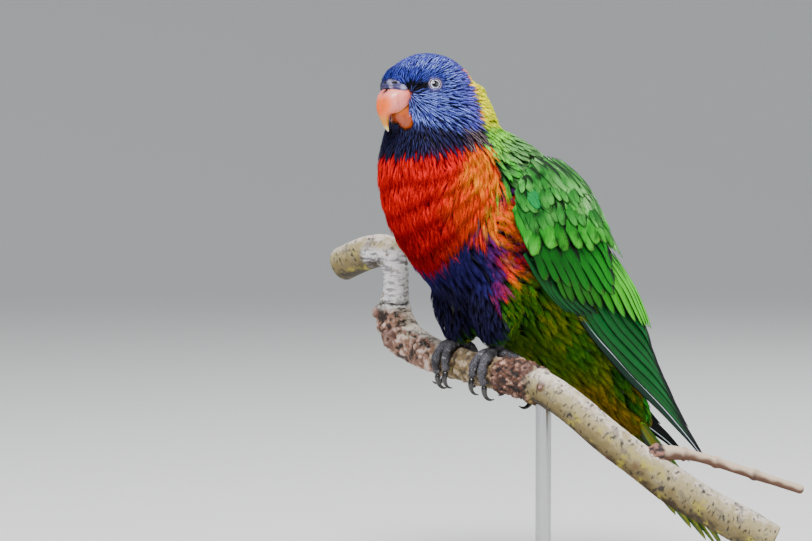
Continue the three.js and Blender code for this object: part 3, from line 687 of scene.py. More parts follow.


# The markings, the same for skin and coat

# The root colours are darker partly as the feathers' own bases and partly as painted shade under the feathers
# that overlap them
DYES = {  # a name's root, middle and tip, or the one colour of the name
    name: [linear(code) for code in codes.split()]
    for name, codes in {
        "crown": "#0a0a44 #3436a4 #3436a4", "crown_streak_and_highlight": "#b8d4ff", "brow": "#0a0a44 #0e1270 #0e1270",
        "brow_streak": "#6c84f4", "lores": "#08060f #08060f #08060f", "cheek": "#080644 #1e1c80 #1e1c80",
        "cheek_streak": "#90a8ff", "rear": "#14103c #403ca0 #403ca0", "rear_streak": "#9094fa",
        "throat": "#05040e #17122e #17122e", "throat_streak": "#303c80",
        "plum": "#120816 #34183c #34183c", "plum_streak": "#54386a",
        "mottle": "#120a0e #3a2632 #34183c", "mottle_barb": "#3a2632", "mottle_streak": "#a0948a",
        "nape": "#f0782c #f0782c #f4ee00", "nape_pink": "#f0782c #d88aa8 #f0782c",
        "collar": "#b8b000 #f4ee00 #f4ee00", "leaf": "#a8cc00", "collar_green": "#143c08 #a8cc00 #f4ee00",
        "neck": "#143c08 #58a028 #84dc40", "mantle": "#071807 #3c7034 #70ac60",
        "mantle_grey": "#071807 #70ac60 #90c084", "side": "#03280a #3c7034 #36b02c",
        "back": "#03280a #1f8a22 #36b02c", "breast": "#70000a #b8000e #cc0408", "breast_line": "#e83c2c",
        "orange": "#980a00 #c81400 #d83000", "orange_barb": "#dc5000", "yellow": "#b02400 #dc5000 #f09000",
        "belly": "#050412 #14103a #221c58", "violet": "#12062a #38104c #54186c",
        "violet_tuft": "#12062a #38104c #b00c2c", "magenta": "#2a0420 #b00c2c #d83400",
        "flank": "#2a0830 #d83400 #e05c00", "flank_tuft": "#2a0830 #e05c00 #dc5000", "flank_barb": "#cc8410",
        "thigh": "#030206 #100d24 #1d1a3e", "vent": "#082400 #1c5400 #306000",
        "vent_gold": "#082400 #306000 #6c7400", "vent_dark": "#082400 #103c04 #1c5400",
        "under": "#182000 #505000 #806400",
    }.items()
}


def belly_edge(s):
    """The degrees from the front where the navy belly ends."""
    return 64 - (s - 65) * 0.45 - 0.7 * np.maximum(s - 86, 0)


def breast_edge(side):
    """How far down the body the orange breast ends, so many degrees from the front."""
    return 72.5 - 0.13 * side


def tufts(p):
    """The flank's loose tufts, from about -1 between them to 1 on them."""
    return ripple(p, 5, 46)


def markings(p, seed=3):
    """Each place's root, middle, tip and barb colours, with the shaft's colour and how strongly it shows."""
    s, turn, _ = body_place(p)
    side = np.abs(turn)
    head = in_head(p)
    forward, up, aside = -head[:, 1], head[:, 2], np.abs(head[:, 0])
    draw = np.random.default_rng(seed)
    wave = ripple(p, 5, 11)
    fine = ripple(p, 2.2, 12)
    count = len(p)
    paint = {key: np.zeros((count, 3)) for key in ("low", "mid", "tip", "barb", "streak")}
    strength = np.zeros(count)

    def wash(mask, name, barb=None, streak=None, shows=0.0):
        """Lays a dye on, whose barbs and shafts take its tip's colour, or another dye's last one."""
        nonlocal strength
        dyes = [*DYES[name], DYES[barb or name][-1], DYES[streak or name][-1]]
        for key, dye in zip(paint, dyes):
            paint[key] = mix(paint[key], dye, mask)
        strength = strength + (shows - strength) * mask

    wash(np.ones(count), "back")
    wash(ease(112 - s, 0, 30), "mantle")
    wash(ease(ripple(p, 9, 13), 0.1, 0.7) * ease(115 - s, 0, 20) * ease(side, 112, 122), "mantle_grey")
    wash(ease(118 - side, 0, 6) * ease(s, 44, 52), "side")
    wash(ease(52 + 4 * wave - s, 0, 14), "neck")
    under = ease(100 + 4 * wave - side, 0, 6)
    wash(under * ease(s, 96, 104), "vent")
    wash(under * ease(s, 96, 104) * ease(ripple(p, 6, 14), 0.1, 0.6), "vent_gold")
    wash(under * ease(s + 8 * wave, 152, 180), "under")
    wash(under * ease(s, 120, 150) * ease(ripple(p, 8, 15), 0.25, 0.7) * ease(side, 24, 40), "vent_dark")
    brown = under * ease(s, 112, 130) * ease(52 + 5 * wave - side, 0, 14)
    wash(brown * 0.2, "under")

    edge = belly_edge(s) + 2 * wave
    belly = ease(s + wave, 62, 66) * ease(112 - s, 0, 8)
    wash(belly * ease(edge + 2 - side, 0, 5), "belly")
    band = belly * ease(side, edge - 13, edge - 6) * ease(edge + 4 - side, 0, 4)
    wash(band, "violet", "violet_tuft")
    wash(band * ease(fine, 0.1, 0.5), "magenta")
    flank = ease(s + wave, 60, 66) * ease(103 + 3 * wave - s, 0, 5) * ease(side, edge - 1, edge + 4)
    flank = flank * ease(99 - 0.35 * (s - 60) - side, 0, 1)
    wash(flank, "flank", "flank_barb")
    tuft = tufts(p)
    wash(flank * ease(-tuft, 0.1, 0.6), "violet_tuft", "magenta")
    wash(flank * ease(tuft, 0.5, 1.0) * 0.8, "flank_tuft", "flank_barb")
    green = under * ease(s, 92, 98) * ease(114 - s, 0, 8) * ease(side - edge, 0, 3)
    wash(green, "vent", "vent_gold")
    leg = ease(34 + 3 * wave - p[:, 2], 0, 6) * ease(40 + 3 * wave - side, 0, 5) * ease(116 - s, 0, 6)
    wash(leg, "thigh")

    breast = ease(s, 32, 33) * ease(breast_edge(side) + 0.8 * wave - s, 0, 2)
    breast = breast * ease(103 - 0.55 * np.maximum(s - 50, 0) - side, 0, 1)
    wash(breast, "breast", None, "breast_line", 0.35)
    warm = ease(side + 2.2 * np.minimum(s - 52, 0) + 3 * wave, 38, 62) * ease(s, 38, 50)
    warm = np.maximum(warm, 0.7 * ease(s, 58, 68) * ease(side, 12, 35))
    warm = np.maximum(warm, ease(side, 74, 82))
    wash(breast * warm, "orange", "orange_barb", "orange_barb", 0.25)
    sunny = ease(12 - np.hypot((s - 45) * 0.9, (side - 91) * 0.5) + 2 * wave, 0, 6)
    sunny = np.maximum(sunny, ease(side, 84, 92) * ease(64 - s, 0, 6))
    sunny = sunny * (0.35 + 0.65 * ease(ripple(p, 1.8, 16), -0.3, 0.3))
    wash(breast * sunny, "yellow")

    blue = ease(37 + 0.7 * wave - s, 0, 1.2) * ease(112 - side + 200 * ease(forward, -14, -8), 0, 6)
    back_edge = -9.8 + 1.1 * fine - 5 * ease(6 - aside, 0, 6) - 0.15 * np.clip(up, 0, 20)
    blue = blue * ease(forward, back_edge - 0.8, back_edge + 0.8)
    blue = np.maximum(blue, ease(37 + 0.7 * wave - s, 0, 1.2) * ease(s, 27, 30) * ease(108 - side, 0, 5))
    collar = ease(back_edge + 0.8 - forward, 0, 1.6) * ease(31 + 2 * wave - s, 0, 4)
    collar = collar * (1 - blue)
    wash(collar, "collar", "leaf")
    wash(collar * ease(s + 2 * wave, 19, 30), "collar_green", "leaf")
    rim = collar * ease(3.2 + fine - np.abs(forward - back_edge + 1.2), 0, 1.5)
    wash(rim * 0.9, "nape")
    wash(rim * ease(up + 2 * fine, -2, 6) * 0.8, "nape_pink")
    wash(blue, "cheek", "cheek_streak", "cheek_streak", 0.85)
    # The top of the head takes paler dyes and stronger pale streaks: partly its own shaft streaks, partly a
    # painted highlight where the light from above falls
    wash(blue * ease(up + 0.25 * forward, 6.5, 10), "crown", None, "crown_streak_and_highlight", 0.6)
    brow = blue * ease(up + 0.25 * forward, 7, 9) * ease(13.5 - up, 0, 2) * ease(forward, 2, 8)
    wash(brow, "brow", None, "brow_streak", 0.45)
    wash(blue * ease(2 - forward, 0, 9), "rear", None, "rear_streak", 0.9)
    # The throat's darker blue is partly its own colour and partly painted shadow under the head, darkest
    # underneath the chin
    deep = blue * ease(s + 0.05 * (90 - side) + wave, 25, 30)
    wash(deep, "throat", None, "throat_streak", 0.45)
    chin = blue * ease(-up, 7, 12) * ease(24 - side, 0, 10)
    wash(chin, "throat", None, "throat_streak", 0.35)
    wash(deep * ease(s + wave, 31.5, 34.5) * ease(side, 20, 45), "plum", None, "plum_streak", 0.3)
    speck = blue * ease(s, 26, 29) * ease(side, 74, 84)
    wash(speck, "mottle", "mottle_barb", "mottle_streak", 0.7)
    lores = blue * ease(2.6 - np.abs(up - 4.4 + 0.12 * (forward - 18)), 0, 1.6) * ease(forward, 12.5, 15)
    wash(lores, "lores")
    glow = draw.uniform(0.8, 1.22, count)[:, None]
    for key in paint:
        paint[key] = paint[key] * glow
    strength = strength * draw.uniform(0.1, 1.2, count)
    paint["streak"] = np.column_stack([paint["streak"], np.clip(strength, 0, 1)])
    return paint


def region_of(p):
    """1 blue head, 2 collar, 3 breast, 4 belly, 5 flank, 6 thigh, 7 vent, 8 back."""
    s, turn, _ = body_place(p)
    side = np.abs(turn)
    forward = -in_head(p)[:, 1]
    region = np.full(len(p), 8)
    region[(side < 100) & (s > 100)] = 7
    region[(side < belly_edge(s)) & (s > 60) & (s < 112)] = 4
    region[(side >= belly_edge(s)) & (side < 99) & (s > 60) & (s <= 101)] = 5
    region[(p[:, 2] < 32) & (side < 50) & (s < 114)] = 6
    region[(side < 101) & (s > 32.6) & (s < breast_edge(side))] = 3
    region[(s <= 33.4) & (side < 106)] = 1
    region[(s < 31) & (forward < -9.5)] = 2
    return region


def bed_at(root, seed, **sizes):
    """Feathers rooted at root: each size is a number or one for each feather, varied a little.

    Their markings are those of the place that the middle of what shows lies over.
    """
    draw = np.random.default_rng(seed)
    count = len(root)
    bed = {"root": root, "seed": draw.random(count)}
    vary = {"length": 0.16, "half": 0.12, "lift": 0.3, "fringe_length": 0.2, "deep": 0.15}
    standard = {"thick": 0.3, "close": 0.4, "power": 2.0, "cup": 0.15, "fringe_length": 2.0, "deep": 1.5,
                "lift": 0.3, "thin": 0.11, "spread": 1.0, "ahead": 0.6, "bend": 0.6}
    for key, value in {**standard, **sizes}.items():
        if key in ("sway", "aim", "least"):
            continue
        bed[key] = np.broadcast_to(np.asarray(value, float), count) * draw.uniform(
            1 - vary.get(key, 0), 1 + vary.get(key, 0), count
        )
    bed["wander"] = draw.normal(0, sizes.get("sway", 6), count) + sizes.get("aim", 0)
    if "least" in sizes:
        whole = root + lie_at(root) * bed["length"][:, None]
        start, end = body_place(root)[0], body_place(whole)[0]
        bed["ahead"] = np.maximum(bed["ahead"], (sizes["least"] - start) / np.maximum(end - start, 2))
    bed.update(markings(root + lie_at(root) * (bed["ahead"] * bed["length"])[:, None], seed))
    return bed


def grow(name, hull, bed, rings, look, section="fine", fringe=0, most=180000):
    """Feathers of one tract as one piece, or as several down the body where one would be too large."""
    size = len(SECTION[section])
    each = (rings - 1) * size * 2 + 2 * (size - 2) + fringe * 8
    parts = max(1, math.ceil(len(bed["root"]) * each / most))
    order = np.argsort(body_place(bed["root"])[0], kind="stable")
    for k, chosen in enumerate(np.array_split(order, parts)):
        part = {key: value[chosen] for key, value in bed.items()}
        title = name if parts == 1 else f"{name}_{k + 1}"
        shown(title, joined(title, coat(hull, part, rings, section, fringe)), look)


def wrapped(name, around, along, place, scale=(1.0, 1.0)):
    """A closed form from a grid: place takes the shares round it and along it, and gives points in mm.

    Its chart is the place on a straight tube whose radius and length are scale.
    """
    bm = bmesh.new()
    bmesh.ops.create_grid(bm, x_segments=around, y_segments=along, size=1)
    shares = np.array([(v.co.x / 2 + 0.5, v.co.y / 2 + 0.5) for v in bm.verts])
    spots = in_part(place(shares[:, 0], shares[:, 1]))
    layer = bm.verts.layers.float_vector.new("chart")
    turn = shares[:, 0] * 2 * math.pi
    chart = np.stack([np.cos(turn) * scale[0], np.sin(turn) * scale[0], shares[:, 1] * scale[1]], 1)
    for vert, spot, at in zip(bm.verts, spots.tolist(), chart.tolist()):
        vert.co = spot
        vert[layer] = at
    bmesh.ops.remove_doubles(bm, verts=bm.verts, dist=0.0005 * MM)
    bmesh.ops.holes_fill(bm, edges=bm.edges, sides=0)
    bmesh.ops.recalc_face_normals(bm, faces=bm.faces)
    mesh = bpy.data.meshes.new(name)
    bm.to_mesh(mesh)
    bm.free()
    mesh.shade_smooth()
    return mesh


def merged(name, meshes):
    """Several meshes as one."""
    bm = bmesh.new()
    for mesh in meshes:
        bm.from_mesh(mesh)
    made = bpy.data.meshes.new(name)
    bm.to_mesh(made)
    bm.free()
    for mesh in meshes:
        bpy.data.meshes.remove(mesh)
    return made


def tube_place(points, radii, bend=None, cut=0.0):
    """A place function for a tube along points, with radii from their own list, and rounded ends.

    With cut, that share of its grid at each end makes a flat sawn face instead.
    """
    points, radii = np.asarray(points, float), np.asarray(radii, float)
    samples = 240
    t = np.linspace(0, 1, samples)
    line = through(points, t)
    run = unit(np.gradient(line, axis=0))
    across = [unit(np.cross(run[0], [0.3, 0.2, 1.0]))]
    for k in range(1, samples):
        across.append(unit(across[-1] - run[k] * np.dot(across[-1], run[k])))
    across = np.array(across)
    other = np.cross(run, across)
    length = np.linalg.norm(np.diff(line, axis=0), axis=1).sum()

    def place(round_share, along_share):
        face = np.clip(np.minimum(along_share, 1 - along_share) / max(cut, 1e-6), 0.02, 1)
        along_share = np.clip((along_share - cut) / (1 - 2 * cut), 0, 1)
        i = np.clip(np.round(along_share * (samples - 1)).astype(int), 0, samples - 1)
        angle = round_share * 2 * math.pi
        reach = through(radii, along_share)
        way = across[i] * np.cos(angle)[:, None] + other[i] * np.sin(angle)[:, None]
        if bend is not None:
            reach = reach + bend(along_share, angle, through(points, along_share), way, length)
        start, stop = along_share * length / radii[0], (1 - along_share) * length / radii[-1]
        close = np.sqrt(np.clip(1 - (1 - np.clip(np.minimum(start, stop), 0, 1)) ** 2, 0.0004, 1))
        close = face * (0.94 + 0.06 * ease(np.minimum(start, stop), 0, 0.12)) if cut else close
        return through(points, along_share) + way * (reach * close)[:, None]

    return place, length


# The bill

UPPER_BILL = [  # forward and up in the head's frame, of its ridge and of its cutting edge, and half its width
    (12, 5.0, 11, -1.2, 7.2), (17.5, 5.0, 14.5, -2.0, 7.7), (22.6, 3.9, 17, -2.9, 7.7),
    (26.2, 1.4, 19, -4.6, 6.8), (28.0, -2.2, 21, -6.3, 5.5), (28.6, -5.8, 22.9, -7.3, 4.2),
    (28.4, -8.8, 24.2, -8.2, 2.6), (27.4, -11.4, 24.4, -10.2, 1.7), (25.8, -13.7, 24.1, -12.4, 1.05),
    (23.8, -15.8, 23.4, -15.2, 0.35),
]
LOWER_BILL = [  # the same for its keel and its rim
    (8, -14, 9, -1.8, 6.8), (12.5, -16.2, 13.5, -2.0, 7.1), (15.4, -15.9, 17, -3.5, 6.7),
    (17.9, -14.3, 19.6, -5.2, 5.7), (19.9, -12.1, 21.4, -6.6, 4.3), (21.9, -9.6, 22.4, -7.6, 1.9),
]
# Half the bill's section from its ridge round to the middle of its back: shares of half its width and height
SHELL = [
    (0, 1), (0.5, 0.95), (0.85, 0.66), (1, 0.15), (1, -0.4), (0.95, -0.85), (0.87, -1), (0.76, -0.8),
    (0.5, -0.35), (0, -0.2),
]
POINT = [
    (0, 1), (0.45, 0.92), (0.8, 0.62), (0.98, 0.22), (1, -0.15), (0.9, -0.5), (0.72, -0.74), (0.5, -0.88),
    (0.25, -0.97), (0, -1),
]


def bill_half(name, stations, solid_from, paint, node):
    """One half of the bill, lofted from a hollow shell at its root to a solid point."""
    rows = np.array(stations, float)
    shell, point = (np.array(half[::-1] + [(-x, y) for x, y in half[1:]], float) for half in (SHELL, POINT))

    def place(round_share, along_share):
        row = through(rows, along_share)
        solid = ease(along_share, *solid_from)
        section = mix(through(shell, round_share), through(point, round_share), solid)
        ends = np.clip(np.minimum(along_share / 0.04, (1 - along_share) / 0.07), 0, 1)
        close = np.sqrt(np.clip(1 - (1 - ends) ** 2, 0.0006, 1))
        middle, reach = (row[:, :2] + row[:, 2:4]) / 2, (row[:, :2] - row[:, 2:4]) / 2
        spot = middle + reach * (section[:, 1] * close)[:, None]
        return from_head(np.stack([section[:, 0] * row[:, 4] * close, -spot[:, 0], spot[:, 1]], 1))

    mesh = wrapped(name, 120, 130, place)
    h = in_head(points_of(mesh))
    tinted(mesh, paint(-h[:, 1], h[:, 2], ripple(h, 4, 701), ripple(h * [1, 1, 0.3], 1.2, 702)))
    # Grown horn with a waxy polish: a soft sheen, and a little light in its thin edges
    look = painted_look(
        f"{name}_horn", 0.9, 0.86, 1.1, 0.05, 0.36, scatter=0.15, coat=0.15, rough_spread=0.08
    )
    shown(name, mesh, look, (node,))
    return mesh


def upper_paint(forward, up, cloud, line):
    """Pink horn over the root and sides, orange along the front, then yellow to a whitish point."""
    front = ease(forward - 0.12 * up + 0.5 * cloud, 25.6, 28.4) * ease(2.5 - up, 0, 3.5)
    edge = ease(-up - 0.72 * (forward - 17), 2.0, 3.4) * ease(24.5 - forward, 0, 2)
    return layered(
        "#f68474",
        ("#fda496", ease(cloud, -0.4, 0.9) * 0.7),
        ("#f06a1c", front),
        ("#f0703a", ease(-up - 0.5 * (forward - 21), 3.6, 6) * 0.55),
        ("#d68608", ease(-up + 0.5 * cloud, 7, 10.5)),
        ("#f4d878", ease(-up, 12, 14.5)),
        ("#fdf3d8", ease(-up, 14, 15.4) * 0.8),
        ("#fcc6a0", edge * 0.6),
        ("#c05a3c", ease(line, 0.5, 1.2) * 0.25),
    )


def lower_paint(forward, up, cloud, line):
    """Deep orange with a yellower rim, and painted shade: brownish underneath and towards the face, and
    darker in a patch on the middle of its side.
    """
    side = 1.6 - np.hypot(forward - 19, up + 11) * 0.4 + cloud * 0.5
    return layered(
        "#ac4000",
        ("#cc5c00", ease(cloud, -0.5, 0.8)),
        # Painted shade: a darker patch on the middle of the side
        ("#9c3800", ease(side, 0, 1.2) * 0.7),
        ("#d87404", ease(up + 0.6 * (forward - 17), -6.5, -3.5) * 0.7),
        # Painted shade: brownish underneath and towards the face
        ("#6c2400", ease(-up - 0.1 * forward, 12, 14.5) * 0.7),
        ("#8a3a0c", ease(15.5 - forward, 0, 3) * 0.5),
        ("#7c2c08", ease(line, 0.4, 1.2) * 0.35),
    )


def bill_tree():
    """Both halves of the bill, to measure how far the coat keeps from them."""
    halves = (
        bill_half("upper_bill", UPPER_BILL, (0.5, 0.72), upper_paint, "bill_upper"),
        bill_half("lower_bill", LOWER_BILL, (0.8, 1.0), lower_paint, "bill_lower"),
    )
    copy = merged("bill_copy", [half.copy() for half in halves])
    tree = Hull(copy).tree
    bpy.data.meshes.remove(copy)
    return tree


# The skin under the coat

BODY, BILL = ("head", "neck", "torso", "leg_left", "leg_right"), ("bill_upper", "bill_lower")
COAT_DEPTH = {"head": 1.3, "body": 2.2}  # mm from the outline in to the skin
BILL_TREE = bill_tree()
FACE = 0.85  # how far out the skin lies behind the bill, as a share of the head


def eye_gap(p):
    """How far a point is from the nearer eye's middle."""
    return np.min([np.linalg.norm(p - eye_place(sign)[0], axis=1) for sign in (1, -1)], axis=0)


def bill_gap(p):
    """How far a point is from the bill's surface, in mm."""
    return np.array([BILL_TREE.find_nearest(spot)[3] for spot in np.asarray(p, float).tolist()])


def lid_ring(sign):
    """The bare rim of the eyelids: a soft fold of two thin rings round the eye."""
    middle, axes = eye_axes(sign)

    def place(round_share, along_share):
        turn, loop = round_share * 2 * math.pi, along_share * 2 * math.pi
        fold = 0.06 * np.sin(17 * turn) * np.maximum(np.cos(loop), 0)
        radius = 2.95 + (0.36 + fold) * np.cos(loop) * (1 + 0.1 * np.cos(2 * turn))
        height = 3.42 + 0.34 * np.sin(loop) + 0.12 * np.sin(3 * loop) - 0.6 * (radius - 2.95)
        return off(middle, axes, radius * np.cos(turn), radius * 0.96 * np.sin(turn), height)

    return wrapped("lid", 72, 14, place)


CERE = {"middle": np.array([0, -19.9, 5.2]), "size": np.array([7.4, 4.2, 3.1])}  # in the head's frame
NOSTRIL = np.array([3.3, -23.2, 6.4])  # on the left, in the head's frame


def nostril_gap(h):
    """How far points in the head's frame are from the nearer nostril, which is a slanting oval."""
    ways = [(h - NOSTRIL * [sign, 1, 1]) * [0.7, 0.7, 1.35] for sign in (1, -1)]
    return np.min([np.linalg.norm(way, axis=1) for way in ways], axis=0)


def cere_sag(h):
    """How far the cere droops towards its sides."""
    return 1.5 * (h[:, 0] / CERE["size"][0]) ** 2


def cere_share(h):
    """How far points in the head's frame are from the cere's middle, as a share of its size there."""
    sunk = h + np.stack([0 * h[:, 0], 0 * h[:, 0], cere_sag(h)], 1)
    return np.linalg.norm((sunk - CERE["middle"]) / CERE["size"], axis=1)


def cere_form():
    """The bare cere over the bill's root, with a swollen rim round each nostril."""

    def place(round_share, along_share):
        turn, polar = round_share * 2 * math.pi, along_share * math.pi
        ball = np.stack([np.sin(polar) * np.cos(turn), -np.cos(polar), np.sin(polar) * np.sin(turn)], 1)
        square = (np.abs(ball) ** 2.2).sum(1, keepdims=True) ** (-1 / 2.2)
        spot = ball * square * CERE["size"] + CERE["middle"]
        spot[:, 2] -= cere_sag(spot)
        gap = nostril_gap(spot)
        rim = 0.35 * np.exp(-((gap - 1.5) ** 2) / 0.3) - 1.2 * np.exp(-(gap**2) / 0.8)
        lump = 0.14 * ripple(spot, 1.1, 31) + 0.12 * np.sin(spot[:, 2] * 5 + ripple(spot, 2, 32) * 2)
        return from_head(spot + ball * (rim + lump)[:, None])

    return wrapped("cere", 84, 64, place)


def skin():
    """One skin for the whole bird, a coat's depth inside its outline, with lids and cere."""
    flesh = fused("flesh", (*BODY, *BILL), 0.9, 6, 0.3)
    points = points_of(flesh)
    s, _, _ = body_place(points)
    bill = bill_gap(points)
    depth = COAT_DEPTH["head"] + (COAT_DEPTH["body"] - COAT_DEPTH["head"]) * ease(s, 30, 50)
    depth = depth * ease(eye_gap(points), 4.8, 7)
    points = points - normals_of(flesh) * depth[:, None]
    h = in_head(points)
    out = np.linalg.norm(h / [HEAD["half"], HEAD["front"], HEAD["up"]], axis=1)
    held = np.minimum(1, FACE / np.maximum(out, 0.01))
    h = h * (1 + (held - 1) * ease(2.6 - bill, 0, 1.6))[:, None]
    set_points(flesh, from_head(h))
    paint = markings(from_head(h))
    colour = mix(paint["low"], paint["mid"], 0.3)
    # Dark maroon round the bill: partly the bare skin's own colour, partly painted shade in the gap between
    # the bill and the feathers
    tinted(flesh, layered(colour, ("#1c080a", ease(1.9 - bill, 0, 1))))
    lids = [tinted(lid_ring(sign), linear("#a88ca4")) for sign in (1, -1)]
    cere = cere_form()
    spots = in_head(points_of(cere))
    low = spots[:, 2] + cere_sag(spots)
    colour = layered(
        "#36366a",
        ("#a8a0c4", ease(ripple(spots, 1.3, 5), -0.2, 0.9) * 0.8),
        ("#4c2a24", ease(3.8 - low, 0, 1.2) * 0.6),
        ("#100c30", ease(low - 7.0, 0, 1.0) * 0.7),
    )
    # The nostrils are painted near-black: painted shade in their openings
    tinted(cere, mix(linear("#08060a"), colour, ease(nostril_gap(spots), 0.85, 1.25)))
    mesh = merged("skin", [flesh, *lids, cere])
    mesh.shade_smooth()
    # Bare skin with fine down: dull and slightly lumpy, with a little light coming through
    look = painted_look("downy_skin", 0.7, 0.7, 1.15, 0.2, 0.6, scatter=0.05)
    shown("skin", mesh, look, BODY)


def breast_tiers(p):
    """How far down its tier of breast feathers a place is, from 0 to 1, and how strongly the tiers show."""
    s, turn, _ = body_place(p)
    end = breast_edge(np.abs(turn))
    down = (s - 36.5) / (end - 36.5) + 0.15 * ripple(p, 14, 44) + 0.03 * ripple(p, 5, 45)
    shows = ease(s, 36, 41) * ease(end + 2 - s, 0, 4) * ease(104 - np.abs(turn), 0, 12)
    return (down * 5.3) % 1, shows


def coat_relief(p):
    """Where the coat stands proud: tiers of the breast, loose tufts at the flank and folds on the belly."""
    s, turn, _ = body_place(p)
    tier, shows = breast_tiers(p)
    rise = shows * (1.2 * tier**1.3 * ease(1 - tier, 0, 0.2) - 0.6)
    flank = ease(s, 62, 68) * ease(100 - s, 0, 6) * ease(np.abs(turn), 52, 62) * ease(98 - np.abs(turn), 0, 8)
    belly = ease(s, 70, 76) * ease(110 - s, 0, 8) * ease(56 - np.abs(turn), 0, 8)
    vent = ease(s, 100, 110) * ease(100 - np.abs(turn), 0, 10)
    flowing = np.stack([s * 0.35, turn * 0.55, 0 * s], 1)
    h = in_head(p)
    aside = np.abs(h[:, 0])
    face = ease(-h[:, 1], 8, 15) * ease(h[:, 2], -5, 3) * ease(15 - h[:, 2], 0, 6) * ease(bill_gap(p), 0.2, 3)
    face = face * (0.7 + 1.3 * ease(aside, 5, 10))
    rise = rise + face * ease(eye_gap(p), 7, 11) * ease(cere_share(h), 1.1, 1.9)
    rise = rise + flank * 1.8 * tufts(p) + belly * 0.7 * ripple(flowing, 4, 47)
    return rise + vent * 0.6 * ripple(flowing, 5, 48)


def coat_shade(p):
    """Painted shade on the coat: darker down the breast, where less light falls, in the valleys of its tiers
    and between loose tufts, with a painted highlight on each tier's rise.
    """
    s, turn, _ = body_place(p)
    tier, shows = breast_tiers(p)
    valley = np.exp(-((tier / 0.2) ** 2)) + np.exp(-(((1 - tier) / 0.08) ** 2))
    shade = 1 - 0.3 * shows * valley + 0.12 * shows * np.exp(-(((tier - 0.7) / 0.16) ** 2))
    shade = shade * (1 - 0.5 * shows * ease(s, 44, 68) * ease(70 - np.abs(turn), 0, 40))
    flank = ease(s, 62, 68) * ease(104 - s, 0, 6) * ease(np.abs(turn), 52, 62)
    return shade * (1 + 0.45 * flank * np.clip(tufts(p), -1, 1))


skin()
BODY_HULL = Hull(fused("body_hull", (*BODY, *BILL, "eye_left", "eye_right"), 1.1, 8, 0.3), coat_relief)
WIDE_HULL = Hull(fused("wide_hull", ("neck", "torso", "wing_left", "wing_right"), 1.8, 24, 0.5))

# The coat

# Feather keratin as it grows in each tract: short stiff vanes with pale shafts on the head, loose silky ones
# without a sheen on the body, close ones with dark edges on the back, and firm glossier ones on the wing
HEAD_VANES = vane_look("streaked_head_plumage", 0.35, 0.45, "#03041a", 0.4, 0.2, 0.6, 0.12)
SOFT_VANES = vane_look("loose_body_plumage", 0.4, 0.28, "#000000", 0.0, 0.14, 0.7, 0.06)
BACK_VANES = vane_look("close_back_plumage", 0.55, 0.35, "#061404", 0.4, 0.16, 0.6, 0.08)
WING_VANES = vane_look("firm_wing_vanes", 0.6, 0.22, "#010402", 1.0, 0.2, 0.5, 0.12)


def head_gap(p):
    """The gap between the head's feathers: close at the face, none on the bill, the eyes and the cere."""
    s, _, _ = body_place(p)
    h = in_head(p)
    near = (s < 40) & (h[:, 1] < -8)
    bill = np.full(len(p), 20.0)
    bill[near] = bill_gap(p[near])
    gap = 0.75 + 0.5 * ease(bill, 1, 7) + 0.3 * ease(bill, 8, 16) + 0.1 * ease(s, 22, 34)
    gap = gap - 0.3 * ease(h[:, 2], 6, 12) * ease(bill, 1, 7)
    gap = np.where(eye_gap(p) < 8, np.minimum(gap, 0.8), gap)
    cere = cere_share(h) > 1.12
    return np.where((region_of(p) == 1) & (bill > 1.1) & (eye_gap(p) > 4.5) & cere, gap * 0.84, 0)


def clear_of_eyes(root, length):
    """Shortens the feathers that would lie over an eye, and gives those that keep some length."""
    heading = lie_at(root)
    for sign in (1, -1):
        middle, look = eye_place(sign)
        at = root - middle
        at = at - (at @ look)[:, None] * look
        way = heading - (heading @ look)[:, None] * look
        a = (way**2).sum(1)
        b = (at * way).sum(1)
        c = (at**2).sum(1) - EYE["rim"] ** 2
        hit = b**2 - a * c
        reach = (-b - np.sqrt(np.maximum(hit, 0))) / np.maximum(a, 1e-6)
        faces = ((root - middle) @ look > 0) & (hit > 0) & (reach > 0)
        length = np.where(faces, np.minimum(length, reach), length)
    return length


def head_coat():
    """Narrow streaked feathers over the blue head."""
    root = BODY_HULL.scatter(head_gap, 21)
    gap = head_gap(root)
    s, _, _ = body_place(root)
    length = clear_of_eyes(root, gap * 4.2 + 1.0 + 1.0 * ease(s, 26, 34))
    keep = length > 0.9
    root, gap, s, length = root[keep], gap[keep], s[keep], length[keep]
    bed = bed_at(
        root, 22, length=length, half=np.minimum(gap * 0.66, length * 0.32), thick=0.14,
        deep=np.minimum(0.8, length * 0.35), lift=0.12 + 0.15 * ease(s, 20, 34), close=0.2, power=1.3,
        cup=0.1, sway=10, fringe_length=gap * 1.8, thin=0.06, spread=0.55, ahead=0.3,
    )
    bed["length"] = np.minimum(bed["length"], length)
    bed["fringe_length"] = np.where(eye_gap(root) < 8, 0.3, bed["fringe_length"])
    grow("head_feathers", BODY_HULL, bed, 5, HEAD_VANES, fringe=5)


def soft_tract(name, region, gap, seed, rings, slot, fringe, lowest=-1000, **sizes):
    """A tract of loose feathers over a numbered region above a height. Some sizes come from the roots."""
    root = BODY_HULL.scatter(lambda p: np.where((region_of(p) == region) & (p[:, 2] > lowest), gap, 0), seed)
    sizes = {key: size(root) if callable(size) else size for key, size in sizes.items()}
    grow(name, BODY_HULL, bed_at(root, seed + 1, **sizes), rings, SOFT_VANES, fringe=fringe)


def breast_aim(root):
    """Degrees that the breast's feathers turn towards the sides, more round the body."""
    s, turn, _ = body_place(root)
    return 40 * np.sign(turn) * ease(np.abs(turn), 5, 60) * ease(s, 34, 42)


def flank_aim(root):
    return -20 * np.sign(body_place(root)[1])


def flank_lift(root):
    return 0.7 + 1.6 * np.random.default_rng(63).random(len(root)) ** 2


def back_size(s):
    return 1.6 + 2.0 * ease(s, 38, 66)


